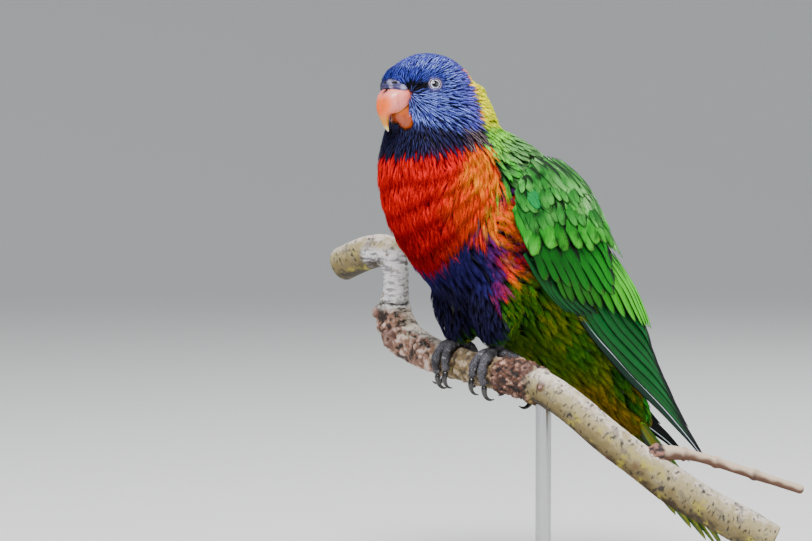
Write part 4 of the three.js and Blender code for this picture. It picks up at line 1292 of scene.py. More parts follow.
def back_gap(p):
    """The gap between the back's feathers, above the line where the wings cover it."""
    s, turn, _ = body_place(p)
    gap = back_size(s)
    line = np.interp(s, [30, 45, 60, 80, 100, 130, 160, 215], [98, 104, 100, 106, 130, 172, 178, 179])
    return np.where((region_of(p) == 8) & (np.abs(turn) > line) & (s > 26), gap, 0)


def back_coat():
    """Round scale-like feathers from the nape to the rump."""
    root = WIDE_HULL.scatter(back_gap, 91)
    s, _, _ = body_place(root)
    size = back_size(s) * np.random.default_rng(93).uniform(0.75, 1.3, len(root))
    bed = bed_at(
        root, 92, length=3.2 * size + 1.5, half=0.7 * size, thick=0.34, deep=1.6, lift=0.4, close=0.4,
        power=1.8, cup=0.12, sway=13, fringe_length=0.9 * size, thin=0.08,
    )
    grow("back_feathers", WIDE_HULL, bed, 7, BACK_VANES, "broad", 12)


head_coat()
soft_tract("collar_feathers", 2, 1.45, 31, 5, "neck_plumage", 6, length=6.5, half=0.95, deep=1.3, lift=0.35,
           power=1.8, sway=9, fringe_length=1.6)
soft_tract("breast_feathers", 3, 1.4, 41, 6, "neck_plumage", 13, length=9.0, half=1.05, thick=0.2, deep=1.4,
           close=0.2, power=1.4, cup=0.05, sway=11, aim=breast_aim, bend=0.15, fringe_length=4.2, thin=0.08,
           spread=0.4, least=38.8)
soft_tract("belly_feathers", 4, 2.3, 51, 6, "body_plumage", 12, length=10.5, half=1.5, thick=0.38, deep=2.1,
           lift=0.5, close=0.3, power=1.6, sway=10, fringe_length=3.4)
soft_tract("flank_feathers", 5, 2.5, 61, 6, "body_plumage", 36, length=7.5, half=1.5, thick=0.26, deep=1.8,
           lift=flank_lift, sway=14, aim=flank_aim, bend=0.2, fringe_length=3.6, thin=0.08, spread=2.5)
soft_tract("thigh_feathers", 6, 1.9, 71, 5, "leg_plumage", 8, 4.5, length=7.5, half=1.1, thick=0.34, deep=1.6,
           close=0.3, power=1.6, sway=8, fringe_length=2.6)
soft_tract("vent_feathers", 7, 2.7, 81, 6, "body_plumage", 12, length=13.0, half=1.9, thick=0.38, deep=2.1,
           lift=0.4, close=0.35, power=1.7, sway=9, fringe_length=3.6)
back_coat()

# The wings and the tail


WING_TINTS = {  # outer web, tip and inner web of each row
    "primary": ("#00581c", "#06642a", "#020a04"),
    "primary_covert": ("#08501c", "#084a24", "#020a04"),
    "secondary": ("#1c8c0c", "#30a414", "#021002"),
    "greater": ("#004404", "#026408", "#021203"),
    "median": ("#187818", "#3ca428", "#041c06"),
    "lesser": ("#1c6820", "#3c9038", "#082408"),
    "scapular": ("#347c30", "#68b45c", "#0c280c"),
}
# Each row of a wing's feathers from its lower edge up: their kind, number and width, where they close and how
# squarely, the outer web's share, mm out from the cape at root and tip, sideways wave and bow, and tilt. Then
# come places along the row of the feathers' roots and of their tips, as mm along the wing and mm up.
WING_ROWS = [
    ("primary", 10, 8.4, 0.45, 1.4, 0.36, (-1.9, 0.4), -2.2, 0.2, 0.12,
     [(42, 7.4), (44, 10.5), (46, 13), (50, 17.5), (54, 21.5), (58, 26), (62, 31), (66, 36), (70, 40),
      (74, 44)],
     [(171, 5), (165, 8), (149, 12), (135, 14.5), (124, 16), (112.5, 19), (99.5, 22.5), (90, 25),
      (82, 27), (75, 29)]),
    ("primary_covert", 6, 5.0, 0.5, 1.6, 0.4, (-1.5, 0.7), 0, -1.0, 0.16,
     [(4, 4), (16, 7), (24, 12)], [(41, 2.5), (49, 6), (55, 12)]),
    ("secondary", 12, 9.0, 0.7, 1.8, 0.4, (-1.5, 1.4), 0, 2.4, 0.14,
     [(0, 12), (8, 16), (16, 20), (24, 27), (34, 35), (42, 43), (50, 50)],
     [(36, 6), (45.5, 10), (53.5, 15), (66, 20), (80, 25), (87, 28), (90, 31)]),
    ("greater", 10, 9.0, 0.7, 2.2, 0.42, (-1.0, 1.7), 0, 1.2, 0.13,
     [(-8, 12), (-4, 15), (3, 20), (12, 26), (20, 35), (28, 44)],
     [(21.5, 4.5), (30, 10.5), (38, 14), (46, 19), (55.5, 24.5), (51, 31), (40, 38)]),
    ("median", 9, 10.5, 0.62, 2.4, 0.5, (-0.7, 1.8), 0, 0.5, 0.11,
     [(-14, 16), (-10, 21), (-4, 28), (5, 35), (14, 43), (22, 50)],
     [(3, 9), (9, 14), (18, 22), (29, 31.5), (35, 40), (42, 48)]),
    ("lesser", 11, 8.6, 0.55, 2.0, 0.5, (-0.7, 1.7), 0, 0.3, 0.1,
     [(-16, 19), (-12, 26), (-4, 34), (4, 42), (12, 50)],
     [(-4, 13), (3, 20), (12, 28.5), (20, 37), (28, 46)]),
    ("lesser", 10, 8.2, 0.55, 2.0, 0.5, (-0.8, 1.7), 0, 0.2, 0.1,
     [(-19, 22), (-16, 29), (-10, 38), (-2, 47)], [(-10, 18), (-4, 25), (4, 34), (12, 43.5)]),
    ("lesser", 9, 8.0, 0.5, 2.0, 0.5, (-1.4, 1.2), 0, 0.2, 0.1,
     [(-20, 27), (-19, 34), (-16, 42), (-10, 50)], [(-13, 23), (-8, 31), (-3, 39.5), (3, 48)]),
    ("scapular", 8, 8.0, 0.5, 2.0, 0.5, (-0.6, 1.2), 0, 0.5, 0.08,
     [(8, 45), (14, 49), (22, 55), (28, 61)], [(34, 42), (43, 45), (49, 48), (53, 51)]),
    ("scapular", 9, 8.0, 0.5, 2.0, 0.5, (-0.6, 1.4), 0, 0.5, 0.08,
     [(-6, 44), (0, 49), (8, 57), (14, 64)], [(14, 41), (24, 45), (33, 51), (38, 57)]),
    ("scapular", 9, 8.0, 0.5, 2.0, 0.5, (-0.8, 1.4), 0, 0.4, 0.08,
     [(-18, 41), (-12, 48), (-6, 57), (0, 66)], [(0, 39), (8, 45.5), (17, 54), (22, 62)]),
]
SOFT_ROWS = ("median", "lesser", "scapular")
EMERALD = (6, 2)  # the row and the feather of the one brighter covert
UNDERSIDE, RIDGE = 9, 4  # the first point of a quill section's underside, and the point on its shaft


def wing_row(number, mirror, seed):
    """One row of a wing's feathers, laid edge over edge with the upper ones on top."""
    kind, count, wide, close, power, outer, (low, high), wave, bow, tilt, roots, tips = WING_ROWS[number]
    draw = np.random.default_rng(seed)
    soft = kind in SOFT_ROWS
    v, rise = np.array(SECTION["quill"], float).T
    order = np.linspace(0, 1, count)
    rank = order[:, None, None]
    t = (np.linspace(0, 1, 14 if soft or kind == "primary_covert" else 22) ** 0.9)[None, :, None]
    full = (count, t.shape[1], len(v))
    root, tip = (through(np.array(spots, float), order)[:, None] for spots in (roots, tips))
    loose = 4.0 if soft else 1
    stray = [draw.normal(0, 0.5 * loose, count), draw.normal(0, 0.25 * loose, count)]
    tip = tip + np.stack(stray, 1)[:, None]
    middle = root + (tip - root) * t
    sway = bow * np.sin(math.pi * t) + wave * np.sin(2 * math.pi * t) * (1 - 0.7 * rank)
    along, up = middle[..., 0:1], middle[..., 1:2] + sway
    width = wide * draw.uniform(1 - 0.06 * loose, 1 + 0.06 * loose, (count, 1, 1))
    aside = width * width_at(t, close, power, 0.6) * np.where(v < 0, outer, 1 - outer) * v
    if kind == "primary":
        aside[0] = aside[0] * np.where(v < 0, 1.1, 1)
    out = low + (high - low) * ease(t, -0.1, 0.65) - aside * tilt + 0.16 * rise
    out = out - 0.1 * aside**2 / wide + draw.normal(0, 0.08, (count, 1, 1))
    co = cape(along + 0 * aside, up + aside, out)
    tint, streak = wing_paint(kind, co, *(np.broadcast_to(x, full) for x in (t, v, rank)), seed)
    if number == EMERALD[0]:
        green = 0.9 * ease(np.broadcast_to(t[0], full[1:]), 0.2, 0.5)
        tint[EMERALD[1]] = layered(tint[EMERALD[1]], ("#067a3c", green))
    vary = 0.3 if soft else 0.15
    tint = tint * draw.uniform(1 - vary, 1 + vary, (count, 1, 1, 1))
    tint[:, :, UNDERSIDE:] = linear("#0c1010")
    if kind == "primary":
        tint[0, 3:, RIDGE] = linear("#a8b4cc")
    vane = stacked(full, t, v, draw.random((count, 1, 1)))
    length = np.linalg.norm(co[:, -1, RIDGE] - co[:, 0, RIDGE], axis=-1)[:, None, None]
    barb = stacked(full, t * length, aside, 0.0)
    start = 0.5 if mirror else 0
    uv = np.stack([0.05 + 0.45 * up[:, 0, 0] / 90 + start, 0.1 + (along[:, 0, 0] + 20) / 200], 1)
    if mirror:
        co = co[:, :, ::-1] * [-1, 1, 1]
        tint, vane, barb = (x[:, :, ::-1] for x in (tint, vane, barb))
    return chunk_of(co, tint, streak, vane, barb, uv)


def wing_paint(kind, co, t, across, rank, seed):
    """The colours over a row's vanes, with each shaft's colour and how strongly it shows."""
    web, end, inner = (linear(code) for code in WING_TINTS[kind])
    tint = mix(mix(web, end, ease(t, 0.45, 0.95)), end, ease(ripple(co, 7, seed), 0, 1) * 0.4)
    streak = np.zeros((len(co), 1, 1, 4))
    streak[..., :3], streak[..., 3] = linear("#030a04"), 0.7
    if kind == "primary":
        streak[:1, ..., :3], streak[:1, ..., 3] = linear("#dfe9f8"), 1.0
        first = (np.arange(len(co)) == 0)[:, None, None] * 1.0
        tint = layered(
            tint,
            ("#042c1c", first * ease(-across, -0.05, 0.05)),
            ("#0a1c20", ease(-across, 0.78, 0.95) * (0.7 + 0.3 * first)),
            ("#0c0714", ease(t + 0.12 * across, 0.66, 0.88)),
        )
    if kind == "secondary":
        tint = layered(tint, ("#48c41c", ease(rank, 0.45, 0.75) * ease(t, 0.1, 0.5)))
        # Painted shade: the lower secondaries darkened as lying in the shade of the coverts
        tint = tint * (0.35 + 0.65 * ease(rank, 0.3, 0.62))[..., None]
        # Painted highlight along the outer edges of the upper secondaries, and painted shade in a dark band
        # at each tip for the shadowed gap beneath
        lit = ease(rank, 0.5, 0.8) * ease(-across, 0.2, 0.7) * 0.7
        tint = layered(tint, ("#68d844", lit), ("#06200a", ease(t, 0.93, 1) * 0.6))
    if kind == "greater":
        tint = layered(tint, ("#0c8814", ease(rank, 0.3, 0.8) * ease(t, 0.1, 0.6) * 0.7))
    if kind in ("greater", "median"):
        tint = layered(tint, ("#4c5814", ease(t, 0.9, 1.0) * ease(across + 0.8, 0, 0.6) * 0.6))
    if kind in SOFT_ROWS:
        blotch = ripple(co, 2.6, seed + 50)
        pale, share = ("#9cdc8c", 0.55) if kind == "scapular" else ("#72cc60", 0.3)
        tint = layered(tint, (pale, ease(blotch, 0.2, 1.1) * share))
        tint = layered(tint, ("#0a2c0c", ease(-blotch, 0.3, 0.9) * 0.75))
    if kind in ("median", "lesser"):
        tint = layered(tint, ("#3c5c1c", ease(t, 0.88, 1.0) * 0.5))
    start = 0.42 if kind == "primary" else 0.12
    return mix(tint, inner, ease(across, start, start + 0.3)), streak


def wing_core(name, mirror):
    """The wing's flesh and bone under its feathers, painted near-black as painted shade, which shows only as
    dark between them.
    """
    low = np.array([20, 8, 3.5, 2.5, 2.5, 3, 4, 6], float)
    high = np.array([40, 60, 68, 66, 57, 44, 31, 18], float)

    def place(round_share, along_share):
        a = -13 + 85 * along_share
        turn = round_share * 2 * math.pi
        edges = [through(line, (a + 14) / 142) for line in (low, high)]
        middle, half = (edges[1] + edges[0]) / 2, (edges[1] - edges[0]) / 2 - 1.0
        ends = np.sqrt(np.clip(np.minimum(along_share / 0.1, (1 - along_share) / 0.15), 0.002, 1))
        thick = 5.0 * ends * (1 - 0.7 * along_share) / 2
        c = middle + half * np.cos(turn) * (0.4 + 0.6 * ends)
        spot = cape(a, c, -2.3 - thick + thick * np.sin(turn))
        return spot * [-1, 1, 1] if mirror else spot

    mesh = wrapped(name, 48, 90, place)
    # Near-black all over: painted shade between the feathers
    return tinted(mesh, linear("#030804"))


def wing(side, mirror):
    """One wing: its firm flight feathers, its soft coverts, and the dark core under them."""
    numbers = range(len(WING_ROWS))
    firm = [wing_row(k, mirror, 200 + k) for k in numbers if WING_ROWS[k][0] not in SOFT_ROWS]
    soft = [wing_row(k, mirror, 230 + k) for k in numbers if WING_ROWS[k][0] in SOFT_ROWS]
    # Downy skin in the shade of the feathers, too dull to catch a highlight; its near-black colour is painted
    # shade
    down = painted_look(f"wing_core_painted_shade_{side}", 0.8, 0.6, 1.2, 0.2, 0.7)
    feathers, coverts, core = f"wing_feathers_{side}", f"wing_coverts_{side}", f"wing_core_{side}"
    shown(feathers, joined(feathers, firm), WING_VANES, (f"wing_{side}",))
    shown(coverts, joined(coverts, soft), BACK_VANES)
    shown(core, wing_core(core, mirror), down)


wing("left", False)
wing("right", True)


def tail_place(a, x, out):
    """A place on the tail: mm along it, mm aside and mm out from its back."""
    droop = math.radians(TAIL["droop"])
    run = np.array([math.cos(droop), -math.sin(droop)])
    y = TAIL["y"] + a * run[0] - out * run[1]
    z = TAIL["z"] + a * run[1] + out * run[0]
    return np.stack(np.broadcast_arrays(x, y, z), -1)


def tail():
    """Twelve graded tail feathers, each pair lower, shorter and further out, yellow-green at the sides."""
    chunks = []
    draw = np.random.default_rng(301)
    v, rise = np.array(SECTION["quill"], float).T
    u = np.linspace(0, 1, 26)
    t = u[:, None]
    full = (1, len(u), len(v))
    streak = np.array([*linear("#1a1408"), 0.5]).reshape(1, 1, 1, 4)
    for pair in range(6):
        for sign in (1, -1):
            a = (92 - 6.2 * pair * (1 + 0.12 * pair) + draw.normal(0, 0.6)) * t
            centre = 2.7 * (0.5 + pair) + math.tan(math.radians(1.1 * pair)) * a
            inner = np.minimum(6.0, centre - 0.3 + 0 * t)
            half = np.where(v < 0, inner, 4.6) * width_at(t, 0.6, 1.7, 0.7)
            out = -1.0 * pair + 0.22 * rise - 0.02 * (v * half) ** 2 - 0.3
            co = tail_place(a, sign * (centre + v * half), out)[None]
            below = layered("#7c8008", ("#14540c", ease(np.broadcast_to(v, full), 0.15, 0.5)))
            tint = mix(layered("#1c7410", ("#7cb824", np.full(full, pair / 7))), below,
                       ease(np.broadcast_to(-rise - 0.2, full), 0, 0.2))
            tint = tint * draw.uniform(0.85, 1.15)
            vane = stacked(full, t, v, draw.random())
            barb = stacked(full, a, v * half, 0.0)
            uv = np.array([[0.5 + sign * 0.04 * (pair + 0.5), 0.97 - 0.002 * pair]])
            if sign < 0:
                co, tint, vane, barb = (x[:, :, ::-1] for x in (co, tint, vane, barb))
            chunks.append(chunk_of(co, tint, streak, vane, barb, uv))
    shown("tail_feathers", joined("tail_feathers", chunks), WING_VANES, ("tail",))


tail()

# Eyes, feet and claws


def eyes():
    """Eyeballs with a slightly bulging cornea, marked with the distance from the pupil's middle."""
    look = eye_look()
    for sign, side in ((1, "left"), (-1, "right")):
        middle, axes = eye_axes(sign)

        def place(round_share, along_share):
            turn, polar = round_share * 2 * math.pi, along_share * math.pi
            far = EYE["radius"] * np.sin(polar)
            bulge = np.where(polar < 1.2, 0.35 * np.clip(1 - (far / 2.6) ** 2, 0, 1), 0)
            out = EYE["radius"] * np.cos(polar) + bulge
            return off(middle, axes, far * np.cos(turn), far * np.sin(turn), out)

        mesh = wrapped(f"eyeball_{side}", 64, 60, place)
        spots = points_of(mesh) - middle
        ahead = spots @ axes[2]
        ring = np.linalg.norm(spots - ahead[:, None] * axes[2], axis=1)
        marked(mesh, "ring", "FLOAT", np.where(ahead > 0, ring, 9))
        shown(f"eyeball_{side}", mesh, look, (f"eye_{side}",))


BRANCH = [  # along the cut branch, from its broken stub beside the bird to its fork: x, y, z and radius
    (-92, -10, 37, 8.4), (-76, -7, 42.5, 8.2), (-63, -3.5, 44, 7.6), (-59.5, -1.5, 36, 6.5),
    (-60, -1, 25, 6.4), (-61, -1, 13, 8.8), (-53.5, -0.6, 3.6, 9.2), (-38, 0, -1.6, 8.2),
    (-20, 0, -5, 7.7), (0, 0, -7.3, 7.4),
    (20, 0, -8.6, 7.4), (38, 0.8, -10, 7.8), (53, 4, -14.5, 7.6), (66, 10, -23, 7.7), (78, 18, -34, 7.8),
    (89, 28, -45, 8), (100, 39.5, -56, 8.6), (110, 51, -65, 8.4), (120, 62, -73, 8.6), (128, 71, -79, 7.8),
]
BRANCH_RADIUS, BARK_RADIUS = 7.4, 7.5  # under the feet, and of the tube that the bark is charted on
TWIG = [  # the side twig, in the same terms
    (88, 27, -44, 4.5), (96, 36, -40.3, 4), (104.5, 47.5, -42, 2.8), (118, 67, -49.5, 2.6),
    (131, 86, -57, 2.5),
]


def round_branch(x, turn, out):
    """A place out mm outside the branch at x, turned from its top towards the bird's front."""
    rows = np.array(BRANCH[7:13], float)
    y, z, r = (np.interp(x, rows[:, 0], rows[:, k]) for k in (1, 2, 3))
    a = np.radians(turn)
    return np.stack([np.asarray(x, float) + 0 * a, y - (r + out) * np.sin(a), z + (r + out) * np.cos(a)], -1)


TOES = {  # each toe's x on the branch at its root, middle and end, and its turns round it at root and end
    "left": [
        ([17, 14, 12.7], -2, 105), ([17.5, 20, 20.3], -2, 122),
        ([18.5, 29.5, 37], -12, -142), ([17, 15, 14], -8, -112),
    ],
    "right": [
        ([-11.5, -9, -7.6], -2, 105), ([-12, -15, -15.6], -2, 122),
        ([-13, -23, -29], -12, -142), ([-11.5, -9.5, -8.5], -8, -112),
    ],
}
FOOT_X = {"left": 17, "right": -11.5}  # the x of each sole


def toe_scales(along_share, angle, spot, way, length):
    """Broad scutes over the top of a toe, knuckles, and soft pads under its joints."""
    mm = along_share * length
    axis = round_branch(spot[:, 0], 0 * spot[:, 0], -BRANCH_RADIUS)
    top = (way[:, 1:] * unit(spot[:, 1:] - axis[:, 1:])).sum(1)
    step = (mm / 1.7) % 1
    scute = 0.2 * (step**0.5 - 0.5) * ease(top, -0.2, 0.5)
    pads = 0.35 * np.cos(mm / length * 6 * math.pi) * (0.5 + 0.5 * ease(-top, -0.3, 0.8))
    return scute + pads


def feet():
    """Four scaled toes and a shank on each foot, and the claws."""
    look = scale_look()
    # Dark claw horn, worn smooth: sharp small highlights over a faint mottling
    horn = painted_look("claw_horn", 1.2, 0.75, 1.3, 0.04, 0.3, coat=0.4)
    for side in ("left", "right"):
        toes = []
        for k, (xs, start, end) in enumerate(TOES[side]):
            t = np.linspace(0, 1, 9)
            line = round_branch(through(np.array(xs, float), t), start + (end - start) * t, 2.3 - 0.5 * t)
            place, length = tube_place(line, [2.5, 2.3, 2.0, 1.75], toe_scales)
            toes.append(wrapped("toe", 36, int(length * 4), place, (1.9, length)))
            claw(f"claw_of_{side}_{k + 1}", xs[2], end, k, horn, f"claw_{side}_{k + 1}")
        sole = round_branch(FOOT_X[side], -4, 2.5)
        shank = np.array([sole, sole + [0, 1.5, 3], sole + [0, 3, 6], sole + [0, 6, 12]])
        place, length = tube_place(shank, [3.1, 2.9, 2.7, 2.7], shank_scales)
        toes.append(wrapped("shank", 40, 50, place, (2.6, length)))
        charts = np.concatenate([chart_of(m) for m in toes])
        mesh = merged(f"toes_{side}", toes)
        mesh.attributes["chart"].data.foreach_set("vector", charts.astype(np.float32).ravel())
        spots = points_of(mesh)
        dark, light = ease(ripple(spots, 3, 401), -0.3, 0.8), ease(ripple(spots, 0.9, 402, 9), 0.5, 1.1)
        tinted(mesh, layered("#504e56", ("#26242a", dark), ("#a8a4a8", light * 0.8)))
        mesh.shade_smooth()
        shown(f"toes_{side}", mesh, look, (f"foot_{side}",))


def shank_scales(along_share, angle, spot, way, length):
    return 0.15 * np.sin(angle * 5 + along_share * 40) + 0.1 * np.sin(along_share * 30)


def claw(name, x, start, seed, look, node):
    """A hooked claw of dark horn, round above and narrower to its point."""
    turn = math.copysign(46, start)
    t = np.linspace(0, 1, 9)
    out = 1.9 + 3.4 * np.sin(0.75 * math.pi * t)
    line = round_branch(x + 0 * t, start + math.copysign(0.4, start) + turn * t, out)
    place, _ = tube_place(line, [1.5, 1.3, 0.95, 0.6, 0.22])
    mesh = wrapped(name, 28, 60, place)
    worn = ease(ripple(points_of(mesh), 2.5, 500 + seed), 0, 1) * 0.5
    shown(name, tinted(mesh, layered("#1a1817", ("#4a423c", worn))), look, (node,))


# The branch and the stand

BURL = 36  # the x of the wrinkled burl's middle beside the left foot
KNOTS = [  # where the branch swells in a rimmed knot: x, y, z, width and rise
    (44, -2.4, -5.1, 2.6, 1.0), (55, -2, -12.1, 1.6, 0.7), (34, -5, -8, 2.2, 0.8), (28, -6.4, -11, 2, 0.8),
    (-66.3, -8.6, 15.3, 2.4, 2.4), (-54, -8, 3, 3.2, 1.2), (91, 24, -45, 2.4, 0.8), (80, 14, -44, 1.8, 1.6),
]
SAWN = 0.02  # the share of the branch's grid in each sawn end
TWIG_NODES = (17, 31, 45, 58)  # mm along the twig


def grit_at(at, size, seed, rounds=3):
    """Rough noise of about size mm, mostly from -1 to 1."""
    shift = Vector((7.1 * seed, 3.7 * seed, 1.9 * seed))
    return np.array([noise.fractal(Vector(p) / size + shift, 0.8, 2.1, rounds) for p in at.tolist()])


def bark_zones(at, out):
    """How far each place is flaking, wrinkled burl, brown between the toes, or pale upright bark."""
    left = -0.574 * out[:, 0] - 0.819 * out[:, 1]
    low = 0.6 * left - 0.8 * out[:, 2] + 0.45 * ripple(at, 6, 605, 9)
    flaking = ease(18 - at[:, 2], 0, 3) * ease(-12 - at[:, 0], 0, 10) * ease(low, -0.7, -0.2)
    burl = ease(13.5 - np.abs(at[:, 0] - BURL), 0, 3) * ease(at[:, 2], -24, -18)
    brown = ease(at[:, 0], -28, -16) * ease(30 - at[:, 0], 0, 8)
    upright = ease(at[:, 2], 14, 20) * ease(48 - at[:, 2], 0, 5) * ease(-45 - at[:, 0], 0, 6)
    return flaking, burl, brown, upright * ease(at[:, 0], -72, -68)


def torn_gap(at):
    """How far each place is above the ragged ring where the upright limb's bark is torn."""
    return np.where(at[:, 0] < -45, at[:, 2] - 19 - 1.6 * grit_at(at, 4, 5), 99)


def bark_relief(along_share, angle, spot, way, length):
    """Slowly uneven bark with flakes at the bend, a wrinkled burl, rimmed knots and a torn ring."""
    at = spot + way * BARK_RADIUS
    flaking, burl, brown, upright = bark_zones(at, way)
    rough, folds = grit_at(at, 3.6, 1, 4), grit_at(at * [1, 1, 1.5], 3.2, 3)
    rise = 0.25 * ripple(at, 8, 601, 9) + 0.1 * grit_at(at, 1.5, 2)
    rise = rise + np.maximum(flaking, 0.7 * brown) * 1.3 * np.clip(rough, -0.6, 0.6)
    rise = rise + burl * (0.8 + 1.9 * np.clip(folds, -0.6, 0.6))
    rise = rise - upright * 0.3 * ease(grit_at(at * [0.3, 0.3, 1.3], 1.8, 4), 0.1, 0.5)
    torn = torn_gap(at)
    rise = rise + (0.5 + rough) * np.exp(-(((torn + 1.3) / 1.2) ** 2)) - 0.8 * np.exp(-((torn / 0.6) ** 2))
    for x, y, z, wide, proud in KNOTS:
        far = np.linalg.norm(at - [x, y, z], axis=1) / wide
        rise = rise + proud * (np.exp(-((far - 0.8) ** 2) / 0.15) - 0.6 * np.exp(-(far**2) / 0.2))
    return rise


def bark_paint(mesh, length):
    """Painted light and shade: cream where it faces up and olive brown where it faces down; with grey
    mottling, lichen, dark dashes and red-brown flakes.
    """
    spots, out, chart = points_of(mesh), normals_of(mesh), chart_of(mesh)
    flaking, burl, brown, upright = bark_zones(spots, out)
    rough, folds = grit_at(spots, 3.6, 1, 4), grit_at(spots * [1, 1, 1.5], 3.2, 3)
    cloud, speck = grit_at(spots, 6, 7, 4), grit_at(spots, 1.2, 8)
    up = out[:, 2] + 0.35 * cloud + 0.15 * rough
    bands = grit_at(spots * [0.3, 0.3, 1.3], 1.8, 4)
    marks = np.array([noise.noise(Vector((a / 2.4, b / 2.4, c / 1.0))) for a, b, c in chart.tolist()])
    marks = marks + 0.3 * cloud - 0.06 * ease(up, 0.2, 0.9)
    # Painted light and shade: pale cream where the bark faces up, through olive to dark brown where it faces
    # down, under its mottling, lichen and dark dashes; the pale upright bark stays darker on its underside as
    # painted shade
    plain = layered(
        "#33260e",
        ("#74643a", ease(up, -0.85, -0.35)),
        ("#9c8e66", ease(up, -0.3, 0.3)),
        ("#dccfc2", ease(up, 0.35, 0.95)),
        ("#544c40", ease(0.5 * speck + cloud, 0.1, 0.5) * ease(up, -0.5, 0.2) * 0.7),
        ("#a89c30", ease(grit_at(spots, 7, 9), 0.2, 0.6) * ease(0.5 - up, 0, 0.6) * 0.7),
        ("#d6d2d4", upright * ease(up + 1.0, 0.1, 0.8)),
        ("#74727c", upright * ease(bands, 0.05, 0.45) * 0.85),
        ("#6c5c48", upright * ease(speck + cloud, 0.45, 0.9) * 0.8),
        ("#1c1610", ease(marks, 0.36, 0.44) * (1 - 0.6 * upright) * 0.9),
    )
    # Painted highlight on the raised parts of the flakes and the brown bark, and painted shade in their
    # hollows
    light = ease(rough, 0.1, 0.5)
    flakes = layered("#8a6450", ("#cdb2a8", light), ("#22120a", ease(-rough, 0.05, 0.35)))
    dull = layered("#6e5c38", ("#a8967c", light), ("#2a1c10", ease(-rough, 0.1, 0.4)))
    dull = layered(dull, ("#8c4c38", ease(speck, 0.3, 0.6) * 0.6))
    # The burl painted lighter on its raised folds and near-black between them: painted highlight and shade
    wrinkled = layered("#5e3826", ("#bc9680", ease(folds, 0.2, 0.6)), ("#140a06", ease(-folds, 0.0, 0.3)))
    colour = mix(mix(mix(plain, flakes, flaking), dull, brown * 0.9), wrinkled, burl)
    # Painted shade along the groove of the torn ring
    colour = layered(colour, ("#28241a", np.exp(-((torn_gap(spots) / 0.7) ** 2)) * 0.9))
    # Knots: red-brown round them, a pale ring on the raised rim as painted highlight, and dark in the middle
    for x, y, z, wide, _ in KNOTS:
        far = np.linalg.norm(spots - [x, y, z], axis=1) / wide
        colour = layered(
            colour,
            ("#4c2418", ease(1.8 - far, 0, 0.6) * 0.75),
            ("#c09c8c", np.exp(-((far - 0.85) ** 2) / 0.03) * 0.5),
            ("#140a08", ease(0.5 - far, 0, 0.25) * 0.9),
        )
    share = np.minimum(chart[:, 2] / length, 1 - chart[:, 2] / length) / SAWN
    rings = 0.5 + 0.5 * np.sin(28 * share + 2 * cloud)
    wood = layered("#b8925c", ("#8a6234", rings * 0.6), ("#5c3c20", ease(0.35 - share, 0, 0.3)))
    tinted(mesh, mix(colour, wood, ease(0.95 - share, 0, 0.04)))


def twig_folds(at):
    """Wrinkles along the twig's swollen root."""
    return grit_at(at * [0.5, 0.5, 1.5], 2.2, 11)


def twig_relief(along_share, angle, spot, way, length):
    """Nodes along the twig, and a thick wrinkled root."""
    mm = along_share * length
    nodes = sum(0.6 * np.exp(-(((mm - at) / 1.1) ** 2)) for at in TWIG_NODES)
    root = ease(18 - mm, 0, 4) * (0.9 + 1.4 * np.clip(twig_folds(spot + way * 3.5), -0.7, 0.7))
    return nodes + root - 0.5 + 0.12 * ripple(spot + way * 3, 2.5, 622)


def twig_paint(mesh):
    """Painted light and shade: cream where it faces up and brown where it faces down, with dark nodes, and a
    dark wrinkled collar that is lighter on its raised folds as painted highlight and near-black between them
    as painted shade.
    """
    spots, out, along = points_of(mesh), normals_of(mesh), chart_of(mesh)[:, 2]
    grain = ripple(spots, 1.6, 621, 14)
    nodes = np.clip(sum(np.exp(-((along - mm) ** 2)) for mm in TWIG_NODES), 0, 1)
    # Painted light and shade: cream where the twig faces up, brown where it faces down
    shade = layered(
        "#5a3a28",
        ("#c8b098", ease(out[:, 2] + 0.3 * grain, -0.4, 0.6)),
        ("#3c1c18", nodes * ease(grain, -0.2, 0.6) * 0.8),
    )
    # Painted highlight on the collar's raised folds and painted shade between them
    collar = layered("#1c0c08", ("#94685a", ease(twig_folds(spots), -0.1, 0.5)))
    tinted(mesh, mix(shade, collar, ease(20 - along - 2 * grain, 0, 3)))


def branch():
    """The cut limb and its side twig as one mesh."""
    rows, side_rows = np.array(BRANCH, float), np.array(TWIG, float)
    place, length = tube_place(rows[:, :3], rows[:, 3] - 0.2, bark_relief, SAWN)
    limb = wrapped("limb", 120, 720, place, (BARK_RADIUS, length))
    place, span = tube_place(side_rows[:, :3], side_rows[:, 3], twig_relief)
    twig = wrapped("twig", 48, 220, place, (3, span))
    bark_paint(limb, length)
    twig_paint(twig)
    mesh = merged("bark_branch", [limb, twig])
    mesh.shade_smooth()
    # Dry weathered bark: no sheen, and a fine grain that shows in the slanting light
    look = painted_look("weathered_bark", 0.6, 0.85, 1.12, 0.12, 0.7)
    shown("bark_branch", mesh, look, ("perch_branch",))


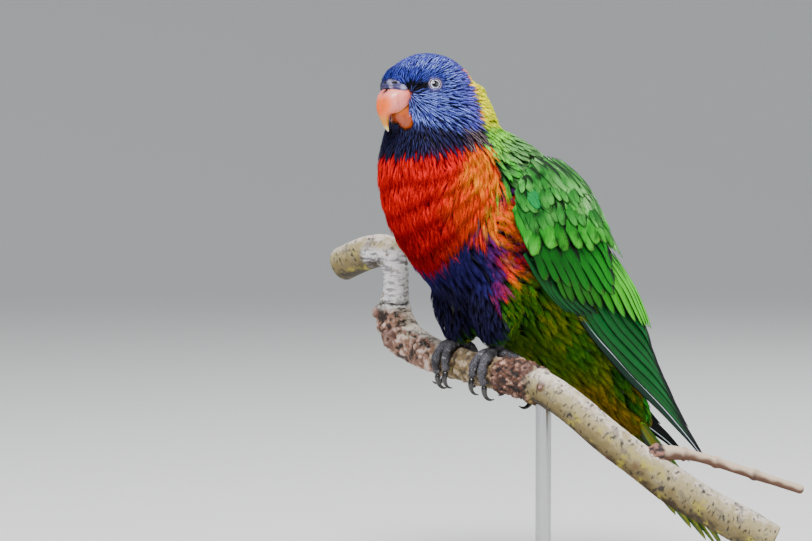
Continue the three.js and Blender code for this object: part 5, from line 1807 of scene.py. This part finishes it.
eyes()
feet()
branch()
for node, look in (("stand_base", walnut_look()), ("stand_rod", steel_look())):
    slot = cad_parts[node].material_slots[0]
    slot.link = "OBJECT"
    slot.material = look

# Floor, light and camera


FLAT = 2.3  # metres from the middle to where the floor starts to rise


def floor():
    """A wide pale floor that curves up all round."""
    bm = bmesh.new()
    bmesh.ops.create_grid(bm, x_segments=60, y_segments=60, size=6.0)
    for vert in bm.verts:
        away = max(math.hypot(vert.co.x, vert.co.y) - FLAT, 0)
        vert.co.z = 0.35 * min(away, 2) ** 2
    mesh = bpy.data.meshes.new("floor")
    bm.to_mesh(mesh)
    bm.free()
    mesh.shade_smooth()
    mesh.materials.append(backdrop_look())
    piece = bpy.data.objects.new("floor", mesh)
    bpy.context.scene.collection.objects.link(piece)


def aimed(name, data, target, azimuth, elevation, distance):
    """A light or camera that faces the target from an azimuth and elevation, counted as the camera's are."""
    piece = bpy.data.objects.new(name, data)
    a, e = math.radians(azimuth), math.radians(elevation)
    back = Vector((math.sin(a) * math.cos(e), -math.cos(a) * math.cos(e), math.sin(e)))
    piece.location = Vector(target) + back * distance
    piece.rotation_euler = back.to_track_quat("Z", "Y").to_euler()
    bpy.context.scene.collection.objects.link(piece)
    return piece


floor()
for name, azimuth, elevation, distance, size, watts in (
    ("key_light", 40, 54, 1.3, 0.6, 30),
    ("fill_light", 110, 24, 1.6, 1.2, 9),
    ("back_light", 190, 50, 1.5, 0.9, 12),
):
    light = bpy.data.lights.new(name, "AREA")
    light.size, light.energy = size, watts
    aimed(name, light, (-0.02, -0.03, 0.14), azimuth, elevation, distance)
lens = bpy.data.cameras.new("camera")
lens.lens, lens.sensor_width = 145, 36
bpy.context.scene.camera = aimed("camera", lens, (-0.0334, -0.0549, 0.1475), 55, 3, 1.5)
world = bpy.data.worlds.new("studio")
world.use_nodes = True
sky = world.node_tree.nodes["Background"].inputs
sky["Color"].default_value, sky["Strength"].default_value = rgba("#dfe6ec"), 0.4
bpy.context.scene.world = world
